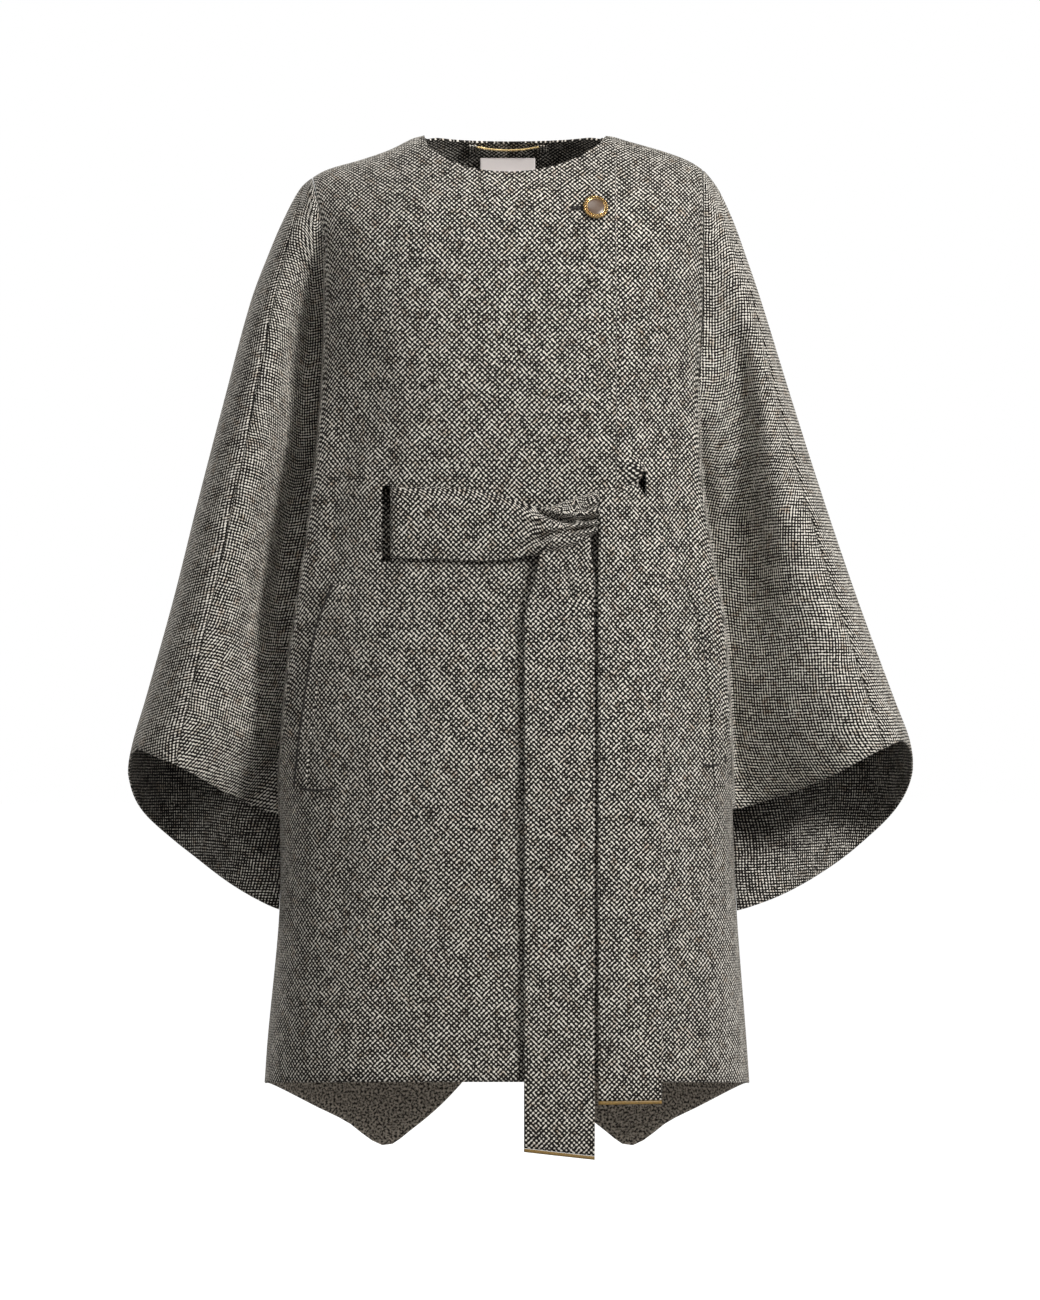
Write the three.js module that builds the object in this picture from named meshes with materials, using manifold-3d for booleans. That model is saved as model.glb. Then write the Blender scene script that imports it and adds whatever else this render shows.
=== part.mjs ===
// A wool cape coat, filled out with no wearer: two fronts, two backs, wing sleeves and a tied belt.
// Millimetres. +Z is up and the front faces -Y. Right and left are the wearer's, and right lies at -X.
// The origin is the middle of the neck opening, level with the shoulders' neck points. A drop is a
// distance below that level.
import * as THREE from 'three';
import { mergeVertices } from 'three/addons/utils/BufferGeometryUtils.js';
import Module from 'manifold-3d';

const wasm = await Module();
wasm.setup();

// Cloth and seams
const WALL = 2.5;
const SEAM_GAP = 0.3;
const LAYER_GAP = 0.8;

// Neck
const NECK_HALF = { right: 83, left: 95 };
const NECK_FRONT_DROP = 43;
const NECK_BACK_DROP = 5;
const NECK_RISE = 13;

// Shoulder and body
const SHOULDER_TIP = 195;
const SHOULDER_ROLL = 95;
const SIDE_POWER = 2.6;
const DEPTH_POWER = 2.2;
const SIDE_SEAM_DROP = 950;
const HEM_RISE = 0.06;

// Front overlap: the right front laps over the left one
const OVERLAP_EDGE = 107;
const OVERLAP_CORNER_DROP = 15;
const UNDERLAP_EDGE = -60;
const LAP_FROM = 20;
const LAP_TO = 95;

// Back vent

// Wing sleeves
const OVERARM_SHARE = { right: 0.43, left: 0.6 };
const FOLD_Y = 6;
const NOSE_POWER = 0.85;
const WING_GAP = 0.4;
const CUFF_INNER_FRONT = 682;
const CUFF_INNER_BACK = 777;

// Belt
const BELT = 3;
const BELT_CLEAR = 1.2;
const SLIT_WIDTH = 10;
const SLIT_RIGHT_X = -121.5;
const SLIT_LEFT_X = 131.5;
const SLIT_RIGHT_TOP = 355;
const SLIT_LEFT_TOP = 341;
const SLIT_BOTTOM = 430;
const BELT_TOP = 357;
const BELT_BOTTOM = 426;
const KNOT = { left: 42, right: 86.6, bulge: 15 };
const TAIL_RIGHT = { from: 16.5, to: 84.5, top: 423, end: 1005, slant: 8 };
const TAIL_LEFT = { from: 87.6, to: 148, top: 358, end: 959, slant: 0 };
const TAIL_GATHER = 31;
const TAIL_FALL = 70;
const TAIL_LIFT = 4.3;
const TRIM = 3.5;

// Button, hanger and label
const BUTTON = { x: 86.5, drop: 82, radius: 13, disc: 8.6, rim: 2.3 };
const CHAIN = { half: 30, drop: 1.5, sag: 3, radius: 1.2 };
const LABEL = { half: 28, top: 20.5, bottom: 51.5, thick: 0.8, away: 1.5 };

// The outline's half width at each drop: the shoulder ridge, then the wing's outer fold.
const OUTLINE = [
  { drop: 0, right: 83, left: 95 },
  { drop: 7, right: 98, left: 116 },
  { drop: 17, right: 118, left: 151 },
  { drop: 27, right: 147, left: 179 },
  { drop: 37, right: 181, left: 195 },
  { drop: 47, right: 198, left: 204 },
  { drop: 57, right: 208, left: 211 },
  { drop: 87, right: 224, left: 225 },
  { drop: 117, right: 237, left: 236 },
  { drop: 167, right: 256, left: 253 },
  { drop: 267, right: 283, left: 284 },
  { drop: 367, right: 309, left: 316 },
  { drop: 467, right: 334, left: 350 },
  { drop: 567, right: 362, left: 387 },
  { drop: 607, right: 374, left: 402 },
  { drop: 640, right: 381, left: 407 },
];

// The body's half width at each drop, at the armhole edge and below it at the side seam.
const BODY_HALF = [
  { drop: 45, right: 195, left: 195 },
  { drop: 78, right: 187, left: 195 },
  { drop: 103, right: 182, left: 195 },
  { drop: 180, right: 181, left: 194 },
  { drop: 264, right: 184, left: 190 },
  { drop: 340, right: 191, left: 192 },
  { drop: 404, right: 199, left: 200 },
  { drop: 484, right: 211, left: 214 },
  { drop: 547, right: 219, left: 219 },
  { drop: 656, right: 227, left: 224 },
  { drop: 775, right: 228, left: 229 },
  { drop: 907, right: 240, left: 239 },
  { drop: 950, right: 243, left: 242 },
];

// The body's depth in front of and behind the shoulder ridge, and the share of it left at the body's edge.
const BODY_DEPTH = [
  { drop: 0, front: 76, back: 66 },
  { drop: 40, front: 86, back: 86 },
  { drop: 100, front: 108, back: 103 },
  { drop: 180, front: 121, back: 112 },
  { drop: 300, front: 125, back: 113 },
  { drop: 400, front: 127, back: 116 },
  { drop: 520, front: 132, back: 124 },
  { drop: 700, front: 143, back: 140 },
  { drop: 950, front: 156, back: 160 },
];
const EDGE_SHARE = [
  { drop: 45, front: 0.6, back: 0.6 },
  { drop: 150, front: 0.45, back: 0.5 },
  { drop: 450, front: 0.4, back: 0.5 },
  { drop: 580, front: 0.3, back: 0.43 },
  { drop: 655, front: 0.13, back: 0.36 },
  { drop: 728, front: 0, back: 0.18 },
  { drop: 801, front: 0, back: 0 },
  { drop: 950, front: 0, back: 0 },
];

// How far the wing's two faces stand out from its outer fold.
const WING_BULGE = [
  { drop: 45, front: 8, back: 8 },
  { drop: 57, front: 25, back: 28 },
  { drop: 87, front: 52, back: 56 },
  { drop: 130, front: 68, back: 76 },
  { drop: 250, front: 84, back: 96 },
  { drop: 450, front: 96, back: 112 },
  { drop: 640, front: 106, back: 128 },
];

// The drop of the cuff's edge, from the armhole (share 0) to the outer fold (share 1).
const CUFF = [
  { share: 0, frontRight: 682, frontLeft: 677, backRight: 777, backLeft: 778 },
  { share: 0.15, frontRight: 664, frontLeft: 661, backRight: 755, backLeft: 760 },
  { share: 0.35, frontRight: 638, frontLeft: 638, backRight: 725, backLeft: 732 },
  { share: 0.55, frontRight: 624, frontLeft: 618, backRight: 700, backLeft: 702 },
  { share: 0.8, frontRight: 616, frontLeft: 608, backRight: 668, backLeft: 664 },
  { share: 1, frontRight: 626, frontLeft: 624, backRight: 630, backLeft: 628 },
];

// The back hem's drop, from the side seam (share 1) to the vent at the centre back (share 0).
const BACK_HEM = [
  { share: 0, drop: 903 },
  { share: 0.1, drop: 926 },
  { share: 0.3, drop: 974 },
  { share: 0.46, drop: 1006 },
  { share: 0.545, drop: 1021 },
  { share: 0.61, drop: 1016 },
  { share: 0.7, drop: 997 },
  { share: 0.82, drop: 979 },
  { share: 1, drop: 950 },
];

// The belt's upper and lower edge on the front, from the right slit to the knot.
const BELT_EDGE = [
  { x: -119, top: 357, bottom: 426 },
  { x: -60, top: 357.6, bottom: 428.5 },
  { x: -25, top: 360.6, bottom: 430 },
  { x: -4, top: 365.5, bottom: 428.5 },
  { x: 22, top: 374.4, bottom: 425.5 },
  { x: 41, top: 376.3, bottom: 422.6 },
  { x: 57, top: 370.4, bottom: 417.6 },
  { x: 87, top: 360.6, bottom: 403 },
];

// The pocket's slanted opening on each front.
const POCKET_LINE = [
  { drop: 452, right: 171, left: 188 },
  { drop: 493, right: 187, left: 201 },
  { drop: 530, right: 194, left: 207 },
  { drop: 600, right: 204, left: 213 },
  { drop: 652, right: 209, left: 216 },
];

// Soft troughs in the wings: their place between armhole and fold at two drops, width and depth.
const WING_TROUGHS = [
  { side: 'right', face: 'front', top: 150, bottom: 560, shareTop: 0.1, shareBottom: 0.08, width: 0.09, depth: 12 },
  { side: 'left', face: 'front', top: 140, bottom: 480, shareTop: 0.4, shareBottom: 0.06, width: 0.1, depth: 9 },
  { side: 'right', face: 'back', top: 140, bottom: 700, shareTop: 0.12, shareBottom: 0.1, width: 0.1, depth: 12 },
  { side: 'left', face: 'back', top: 140, bottom: 700, shareTop: 0.12, shareBottom: 0.1, width: 0.1, depth: 12 },
];

// Soft troughs in the body, each along a line from its top to its bottom.
const BODY_TROUGHS = [
  { face: 'front', xTop: -140, xBottom: -152, top: 190, bottom: 350, width: 26, depth: 8 },
  { face: 'front', xTop: 150, xBottom: 142, top: 250, bottom: 345, width: 16, depth: 4 },
  { face: 'front', xTop: -150, xBottom: -176, top: 430, bottom: 900, width: 28, depth: 5 },
  { face: 'front', xTop: 172, xBottom: 186, top: 430, bottom: 900, width: 26, depth: 5 },
  { face: 'back', xTop: -70, xBottom: -104, top: 330, bottom: 1040, width: 30, depth: 9 },
  { face: 'back', xTop: 74, xBottom: 110, top: 350, bottom: 1040, width: 30, depth: 9 },
];

// One column of a table at a place in another column, on a smooth curve through the rows.
function read(table, key, column, at) {
  const last = table.length - 1;
  const place = Math.min(Math.max(at, table[0][key]), table[last][key]);
  let i = 0;
  while (i < last - 1 && table[i + 1][key] < place) {
    i += 1;
  }
  const slope = (k) => {
    const before = table[Math.max(k - 1, 0)];
    const after = table[Math.min(k + 1, last)];
    return (after[column] - before[column]) / (after[key] - before[key]);
  };
  const [from, to] = [table[i], table[i + 1]];
  const span = to[key] - from[key];
  const t = (place - from[key]) / span;
  const rise = to[column] - from[column];
  const start = slope(i) * span - rise;
  const end = rise - slope(i + 1) * span;
  return from[column] + rise * t + t * (1 - t) * (start * (1 - t) + end * t);
}

function smooth(from, to, at) {
  const t = Math.min(Math.max((at - from) / (to - from), 0), 1);
  return t * t * (3 - 2 * t);
}

const sideOf = (x) => (x < 0 ? 'right' : 'left');
const faceSign = (face) => (face === 'front' ? -1 : 1);
const hump = (distance, width) => Math.exp(-((distance / width) ** 2));

// The drop of the shoulder ridge at a distance from the middle, carried on across the neck.
function ridgeDrop(side, distance) {
  if (distance < NECK_HALF[side]) {
    return ((distance / NECK_HALF[side]) ** 2 - 1) * NECK_RISE;
  }
  return read(OUTLINE, side, 'drop', distance);
}

function troughDepth(face, x, drop) {
  let depth = 0;
  for (const trough of BODY_TROUGHS.filter((each) => each.face === face)) {
    const t = (drop - trough.top) / (trough.bottom - trough.top);
    const middle = THREE.MathUtils.lerp(trough.xTop, trough.xBottom, t);
    const fade = smooth(0, 0.35, t) * (trough.bottom > SIDE_SEAM_DROP ? 1 : smooth(1, 0.7, t));
    depth += trough.depth * fade * hump(x - middle, trough.width);
  }
  return depth;
}

// A point of the body's outer surface, at a distance across and a drop.
function bodyPoint(face, x, drop) {
  const side = sideOf(x);
  const half = read(BODY_HALF, 'drop', side, drop);
  const share = Math.min(Math.abs(x) / half, 1);
  const edge = Math.max(read(EDGE_SHARE, 'drop', face, drop), 0) ** DEPTH_POWER;
  const round = (1 - (1 - edge) * share ** SIDE_POWER) ** (1 / DEPTH_POWER);
  const below = (drop - ridgeDrop(side, Math.abs(x))) / SHOULDER_ROLL;
  const roll = below < 1 ? Math.sqrt(Math.max(1 - (1 - below) ** 2, 0)) : 1;
  const depth = read(BODY_DEPTH, 'drop', face, drop) - troughDepth(face, x, drop);
  return new THREE.Vector3(x, faceSign(face) * (depth * round * roll + SEAM_GAP / 2), -drop);
}

// The body's outer surface moved out along its normal.
function bodyLifted(face, x, drop, lift) {
  const step = 0.5;
  const across = bodyPoint(face, x + step, drop).sub(bodyPoint(face, x - step, drop));
  const down = bodyPoint(face, x, drop + step).sub(bodyPoint(face, x, drop - step));
  const normal = across.cross(down).normalize().multiplyScalar(faceSign(face));
  return bodyPoint(face, x, drop).addScaledVector(normal, lift);
}

// A point of a wing's outer surface. The turn runs from the front armhole (-1) over the outer fold (0)
// to the back armhole (1).
function wingPoint(side, turn, drop) {
  const face = turn < 0 ? 'front' : 'back';
  const sign = side === 'right' ? -1 : 1;
  const share = 1 - Math.abs(turn);
  const half = read(BODY_HALF, 'drop', side, drop);
  const armhole = bodyPoint(face, sign * half, drop);
  const outer = Math.max(read(OUTLINE, 'drop', side, drop), half + 1);
  const angle = (share * Math.PI) / 2;
  const startDepth = Math.abs(armhole.y - FOLD_Y);
  const bulge = read(WING_BULGE, 'drop', face, drop);
  let depth = THREE.MathUtils.lerp(startDepth, bulge, smooth(0.05, 0.55, share)) * Math.cos(angle) ** NOSE_POWER;
  for (const trough of WING_TROUGHS.filter((each) => each.side === side && each.face === face)) {
    const t = (drop - trough.top) / (trough.bottom - trough.top);
    const middle = THREE.MathUtils.lerp(trough.shareTop, trough.shareBottom, t);
    const fade = smooth(0, 0.3, t) * smooth(1, 0.6, t) * smooth(0, 0.05, share);
    depth -= trough.depth * fade * hump(share - middle, trough.width);
  }
  const x = half + WING_GAP + (outer - half) * Math.sin(angle) ** NOSE_POWER;
  return new THREE.Vector3(sign * x, FOLD_Y + faceSign(face) * depth, -drop);
}

function neckDrop(x, depth) {
  const share = Math.min(Math.abs(x) / NECK_HALF[sideOf(x)], 1);
  return depth * Math.sqrt(1 - share * share);
}

// The top edge of a body panel: the neckline, then the shoulder seam.
function topDrop(face, x) {
  const distance = Math.abs(x);
  const side = sideOf(x);
  if (distance < NECK_HALF[side]) {
    return neckDrop(x, face === 'front' ? NECK_FRONT_DROP : NECK_BACK_DROP);
  }
  return ridgeDrop(side, Math.min(distance, SHOULDER_TIP));
}

function frontHemDrop(x) {
  return SIDE_SEAM_DROP + HEM_RISE * bodyPoint('front', x, SIDE_SEAM_DROP).y;
}

function backHemDrop(share) {
  return read(BACK_HEM, 'share', 'drop', share);
}

// Rows down a panel: ROLL_ROWS angles over the shoulder's roll, then even steps to the hem.
const ROLL_ROWS = [0, 0.08, 0.2, 0.4, 0.6, 0.8, 1];
const FALL_ROWS = 11;
const BODY_ROWS = ROLL_ROWS.length + FALL_ROWS;

function rowDrop(row, top, bottom) {
  const rollEnd = top + SHOULDER_ROLL;
  const lastRoll = ROLL_ROWS.length - 1;
  if (row <= lastRoll) {
    const i = Math.min(Math.floor(row), lastRoll - 1);
    const angle = THREE.MathUtils.lerp(ROLL_ROWS[i], ROLL_ROWS[i + 1], row - i) * (Math.PI / 2);
    return top + SHOULDER_ROLL * (1 - Math.cos(angle));
  }
  return THREE.MathUtils.lerp(rollEnd, bottom, (row - lastRoll) / FALL_ROWS);
}

const rowsTo = (count) => Array.from({ length: count }, (_, i) => i);

// Signed volume of an indexed triangle list.
function volumeOf(points, faces) {
  let volume = 0;
  for (const [a, b, c] of faces) {
    volume += points[a].dot(points[b].clone().cross(points[c])) / 6;
  }
  return volume;
}

function geometryOf(points, faces) {
  const turned = volumeOf(points, faces) < 0 ? faces.map(([a, b, c]) => [a, c, b]) : faces;
  const geometry = new THREE.BufferGeometry();
  geometry.setAttribute('position', new THREE.Float32BufferAttribute(points.flatMap((p) => p.toArray()), 3));
  geometry.setIndex(turned.flat());
  return geometry;
}

// A closed wall between two grids of points, with strips round its four edges.
function wallBetween(outer, inner, across, down) {
  const columns = across.length;
  const points = [];
  for (const grid of [outer, inner]) {
    for (const b of down) {
      points.push(...across.map((a) => grid(a, b)));
    }
  }
  const under = columns * down.length;
  const at = (i, j) => i * columns + j;
  const faces = [];
  const quad = (a, b, c, d) => faces.push([a, b, c], [a, c, d]);
  const edges = [];
  const [lastRow, lastColumn] = [down.length - 1, columns - 1];
  for (let i = 0; i < lastRow; i += 1) {
    for (let j = 0; j < lastColumn; j += 1) {
      quad(at(i, j), at(i, j + 1), at(i + 1, j + 1), at(i + 1, j));
      quad(at(i, j) + under, at(i + 1, j) + under, at(i + 1, j + 1) + under, at(i, j + 1) + under);
    }
    edges.push([at(i, lastColumn), at(i + 1, lastColumn)], [at(i + 1, 0), at(i, 0)]);
  }
  for (let j = 0; j < lastColumn; j += 1) {
    edges.push([at(0, j), at(0, j + 1)], [at(lastRow, j + 1), at(lastRow, j)]);
  }
  for (const [from, to] of edges) {
    quad(to, from, from + under, to + under);
  }
  return geometryOf(points, faces);
}

// The outward normal of a surface, from small steps along its two directions.
function normalOf(surface, a, b, sign, limits) {
  const step = 0.004;
  const [low, high] = [Math.max(a - step, limits.a[0]), Math.min(a + step, limits.a[1])];
  const [up, below] = [Math.max(b - step, limits.b[0]), Math.min(b + step, limits.b[1])];
  const across = surface(high, b).sub(surface(low, b));
  const down = surface(a, below).sub(surface(a, up));
  return across.cross(down).normalize().multiplyScalar(sign);
}

// A sheet of cloth: its outer surface and the same surface moved in by its thickness.
function sheet(surface, across, down, sign, thickness) {
  const limits = { a: [Math.min(...across), Math.max(...across)], b: [down[0], down.at(-1)] };
  const inner = (a, b) => {
    const normal = normalOf(surface, a, b, sign, limits);
    return surface(a, b).addScaledVector(normal, -thickness(a, b));
  };
  return wallBetween(surface, inner, across, down);
}

// How far the right front is lifted over the left one, and the left one tucked under it.
const lapShare = (x) => smooth(LAP_FROM, LAP_TO, x);
const overLift = (x) => (WALL + LAYER_GAP) * lapShare(x);
const underLift = (x) => -(WALL + LAYER_GAP) * (1 - lapShare(x));

// Columns from the centre to the side: shares of the half width at the shoulder.
function sideColumns(side) {
  const neck = NECK_HALF[side] / SHOULDER_TIP;
  return [0, 0.4 * neck, 0.7 * neck, 0.88 * neck, 0.97 * neck, neck, 0.545, 0.62, 0.72, 0.83, 0.91, 0.965, 1];
}

// The place across for a column share, which narrows and widens with the body.
function columnX(side, share, drop) {
  const sign = side === 'right' ? -1 : 1;
  const half = THREE.MathUtils.lerp(SHOULDER_TIP, read(BODY_HALF, 'drop', side, drop), smooth(0, 1, share));
  return sign * share * half;
}

// The front edges are straight up and down, so columns near the centre keep their distance.
const centreX = [0, 22, 44, 64, 84, 96, OVERLAP_EDGE];

function frontSurface(panel) {
  return (a, b) => {
    const shoulderX = a;
    const side = sideOf(shoulderX);
    const share = Math.abs(shoulderX) / SHOULDER_TIP;
    const inLap = panel === 'right' ? shoulderX > 0 : shoulderX <= OVERLAP_EDGE;
    const corner = panel === 'right' && shoulderX > 0 ? OVERLAP_CORNER_DROP : 0;
    const top = Math.max(topDrop('front', shoulderX), corner);
    const hemX = inLap ? shoulderX : columnX(side, share, SIDE_SEAM_DROP);
    const drop = rowDrop(b, top, frontHemDrop(hemX));
    const x = inLap ? shoulderX : columnX(side, share, drop);
    const lift = panel === 'right' ? overLift(x) : underLift(x);
    return lift === 0 ? bodyPoint('front', x, drop) : bodyLifted('front', x, drop, lift);
  };
}

function backSurface(side) {
  return (a, b) => {
    const share = Math.max(Math.abs(a) / SHOULDER_TIP, 1e-6);
    const top = topDrop('back', a);
    const drop = rowDrop(b, top, backHemDrop(share));
    const sign = side === 'right' ? -1 : 1;
    const x = columnX(side, share, drop) + ((sign * SEAM_GAP) / 2) * smooth(0.4, 0, share);
    return bodyPoint('back', x, drop);
  };
}

const wallEverywhere = () => WALL;

function frontRight() {
  const negative = sideColumns('right').slice(1).reverse().map((share) => -share * SHOULDER_TIP);
  const across = [...negative, ...centreX];
  return sheet(frontSurface('right'), across, rowsTo(BODY_ROWS), -1, wallEverywhere);
}

function frontLeft() {
  const outer = [0.6, 0.72, 0.83, 0.91, 0.965, 1].map((share) => share * SHOULDER_TIP);
  const tucked = [UNDERLAP_EDGE, -30];
  const across = [...tucked, ...centreX, ...outer];
  return sheet(frontSurface('left'), across, rowsTo(BODY_ROWS), -1, wallEverywhere);
}

function back(side) {
  const sign = side === 'right' ? -1 : 1;
  const across = sideColumns(side).map((share) => sign * share * SHOULDER_TIP);
  return sheet(backSurface(side), across, rowsTo(BODY_ROWS), 1, wallEverywhere);
}

// A wing's rows follow the armhole edge's rows at both of its edges, so the seams run side by side.
const WING_FIRST_ROW = 1;
const WING_LAST_SHARED = 13;
const WING_ROWS = WING_LAST_SHARED - WING_FIRST_ROW + 2;

function wingDrop(side, face, row) {
  const top = ridgeDrop(side, SHOULDER_TIP);
  const cuffInner = face === 'front' ? CUFF_INNER_FRONT : CUFF_INNER_BACK;
  const bodyRow = row + WING_FIRST_ROW;
  if (bodyRow <= WING_LAST_SHARED) {
    return rowDrop(bodyRow, top, SIDE_SEAM_DROP);
  }
  return THREE.MathUtils.lerp(rowDrop(WING_LAST_SHARED, top, SIDE_SEAM_DROP), cuffInner, bodyRow - WING_LAST_SHARED);
}

// How far along its length a wing's row lies, from the shoulder (0) to the cuff (1).
function wingAlong(side, face, row) {
  const first = wingDrop(side, face, 0);
  return (wingDrop(side, face, row) - first) / (wingDrop(side, face, WING_ROWS - 1) - first);
}

function wingSurface(side) {
  const top = wingDrop(side, 'front', 0);
  return (turn, row) => {
    const face = turn < 0 ? 'front' : 'back';
    const column = face + (side === 'right' ? 'Right' : 'Left');
    const cuff = read(CUFF, 'share', column, 1 - Math.abs(turn));
    const toBack = smooth(-0.9, 1, turn);
    const along = THREE.MathUtils.lerp(wingAlong(side, 'front', row), wingAlong(side, 'back', row), toBack);
    return wingPoint(side, turn, THREE.MathUtils.lerp(top, cuff, along));
  };
}

// The wall is thin where the wing runs out at the shoulder's tip.
const wingWall = (drop) => WALL * Math.min(1, 0.3 + (drop - 45) / 30);

function wing(side, turns) {
  const sign = side === 'right' ? 1 : -1;
  const thickness = (turn, row) => wingWall(wingDrop(side, 'front', row));
  return sheet(wingSurface(side), turns, rowsTo(WING_ROWS), sign, thickness);
}

const OVERARM_TRIM = 0.0018;

function sleeveFront(side) {
  const seam = -(1 - OVERARM_SHARE[side]);
  const turns = [0, 0.1, 0.25, 0.42, 0.6, 0.8, 1].map((t) => -1 + t * (seam - OVERARM_TRIM + 1));
  return wing(side, turns);
}

function sleeveBack(side) {
  const seam = -(1 - OVERARM_SHARE[side]) + OVERARM_TRIM;
  const before = [0, 0.33, 0.62, 0.84].map((t) => seam * (1 - t));
  const after = [0, 0.08, 0.2, 0.36, 0.52, 0.68, 0.81, 0.91, 1];
  return wing(side, [...before, ...after]);
}

// Takes a box out of a panel, for the slit that the belt runs through.
function cutSlit(geometry, middleX, top) {
  const solid = solidOf(geometry);
  const cutter = new THREE.BoxGeometry(SLIT_WIDTH, 120, SLIT_BOTTOM - top);
  cutter.translate(middleX, -110, -(top + SLIT_BOTTOM) / 2);
  const cut = solid.subtract(solidOf(cutter)).getMesh();
  const result = new THREE.BufferGeometry();
  result.setAttribute('position', new THREE.Float32BufferAttribute(Array.from(cut.vertProperties), 3));
  result.setIndex(Array.from(cut.triVerts));
  return result;
}

function solidOf(geometry) {
  const bare = geometry.clone();
  bare.deleteAttribute('normal');
  bare.deleteAttribute('uv');
  const merged = mergeVertices(bare, 1e-4);
  const vertProperties = new Float32Array(merged.attributes.position.array);
  const triVerts = new Uint32Array(merged.index.array);
  return new wasm.Manifold(new wasm.Mesh({ numProp: 3, vertProperties, triVerts }));
}

// The lift of the belt's outer face on the front, which dives through a slit and on inside the panel.
function beltLift(x, slitX) {
  const outside = overLift(x) + BELT_CLEAR + BELT;
  const inside = -(WALL + BELT_CLEAR);
  const reach = 4;
  const sign = Math.sign(slitX);
  return THREE.MathUtils.lerp(outside, inside, smooth(-reach, reach, (x - slitX) * sign));
}

const strip = (surface, across, down) => sheet(surface, across, down, -1, () => BELT);

// The belt across the front, drawn together towards the knot.
function beltDrop(x, b) {
  return THREE.MathUtils.lerp(read(BELT_EDGE, 'x', 'top', x), read(BELT_EDGE, 'x', 'bottom', x), b);
}

function beltWaist() {
  const across = [-150, -140, -131, -127, -125, -123, -121, -119, -117, -114, -104, -86, -66, -44, -22, 0, 22, 41.3];
  const surface = (x, b) => {
    return bodyLifted('front', x, beltDrop(x, b), beltLift(x, SLIT_RIGHT_X));
  };
  return strip(surface, across, [0, 0.33, 0.67, 1]);
}

// The short stretch that comes out of the left slit, behind the left tail.
function beltStub() {
  const across = [110, 118, 124, 127, 129, 131, 133, 135, 137, 141, 150, 160];
  const surface = (x, b) => {
    const lift = beltLift(x, SLIT_LEFT_X) - overLift(x) * smooth(4, -4, x - SLIT_LEFT_X);
    return bodyLifted('front', x, THREE.MathUtils.lerp(BELT_TOP, BELT_BOTTOM, b), lift);
  };
  return strip(surface, across, [0, 0.5, 1]);
}

// The belt's inside run from slit to slit, round the back of the waist.
function beltInner() {
  const lift = -(WALL + BELT_CLEAR);
  const surface = (a, b) => {
    const drop = THREE.MathUtils.lerp(BELT_TOP, BELT_BOTTOM, b);
    const points = [];
    const halfRight = read(BODY_HALF, 'drop', 'right', drop) - 8;
    const halfLeft = read(BODY_HALF, 'drop', 'left', drop) - 8;
    points.push(bodyLifted('front', -150.5, drop, lift), bodyLifted('front', -162, drop, lift - 0.5));
    points.push(new THREE.Vector3(-halfRight + 3, -45, -drop), new THREE.Vector3(-halfRight, 10, -drop));
    for (const x of [-164, -130, -90, -45, 0, 45, 90, 130, 164]) {
      points.push(bodyLifted('back', x, drop, lift - 1));
    }
    points.push(new THREE.Vector3(halfLeft, 10, -drop), new THREE.Vector3(halfLeft - 2, -45, -drop));
    points.push(bodyLifted('front', 170, drop, lift - 0.5), bodyLifted('front', 160.5, drop, lift));
    return new THREE.CatmullRomCurve3(points, false, 'chordal').getPointAt(a);
  };
  const across = Array.from({ length: 41 }, (_, i) => i / 40);
  return sheet(surface, across, [0, 0.5, 1], 1, () => BELT);
}

// The knot: a wrapped lump that bulges off the front, with its flat side on the cloth.
function beltKnot() {
  const base = (a, b) => {
    const x = THREE.MathUtils.lerp(KNOT.left, KNOT.right, a);
    return { x, drop: beltDrop(x, b) };
  };
  const swell = (t, power) => (1 - Math.abs(2 * t - 1) ** power) ** 0.5;
  const inner = (a, b) => {
    const { x, drop } = base(a, b);
    return bodyLifted('front', x, drop, overLift(x) + BELT_CLEAR);
  };
  const outer = (a, b) => {
    const { x, drop } = base(a, b);
    const bulge = KNOT.bulge * (0.15 + 0.85 * swell(a, 3) * swell(b, 4));
    return bodyLifted('front', x, drop, overLift(x) + BELT_CLEAR + bulge);
  };
  return wallBetween(outer, inner, [0, 0.06, 0.18, 0.38, 0.62, 0.82, 0.94, 1], [0, 0.06, 0.2, 0.5, 0.8, 0.94, 1]);
}

const tailLift = (x) => Math.max(overLift(x) + BELT_CLEAR, TAIL_LIFT) + BELT;

// A tail's edge positions at a drop: gathered at the knot, then at its full width.
function tailEdges(tail, drop) {
  const fall = smooth(TAIL_RIGHT.top, TAIL_RIGHT.top + TAIL_FALL, drop);
  const spread = smooth(tail.top, tail.top + TAIL_FALL, drop);
  const gatherFrom = tail === TAIL_RIGHT ? TAIL_GATHER : KNOT.right + 1;
  const gatherTo = tail === TAIL_RIGHT ? KNOT.right - 6 : 137;
  return [THREE.MathUtils.lerp(gatherFrom, tail.from, fall), THREE.MathUtils.lerp(gatherTo, tail.to, spread)];
}

function tailPoint(tail, a, drop) {
  const [from, to] = tailEdges(tail, drop);
  const x = THREE.MathUtils.lerp(from, to, a);
  return bodyLifted('front', x, drop, tailLift(x));
}

const TAIL_COLUMNS = [0, 0.33, 0.67, 1];

// A tail's upper edge: the right one starts close under the knot's slanting lower edge.
function tailTop(tail, a) {
  if (tail === TAIL_LEFT) {
    return tail.top;
  }
  return read(BELT_EDGE, 'x', 'bottom', THREE.MathUtils.lerp(TAIL_GATHER, KNOT.right - 6, a)) + 2 * SEAM_GAP;
}

function beltTail(tail) {
  const surface = (a, b) => tailPoint(tail, a, THREE.MathUtils.lerp(tailTop(tail, a), tail.end + tail.slant * a, b));
  const down = [0, 0.025, 0.06, 0.1, 0.15, 0.22, 0.31, 0.4, 0.5, 0.6, 0.7, 0.8, 0.9, 1];
  return strip(surface, TAIL_COLUMNS, down);
}

// The narrow bound strip along a tail's end.
function tailTrim(tail) {
  const surface = (a, b) => tailPoint(tail, a, tail.end + tail.slant * a + SEAM_GAP + b * TRIM);
  return strip(surface, TAIL_COLUMNS, [0, 1]);
}

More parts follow.
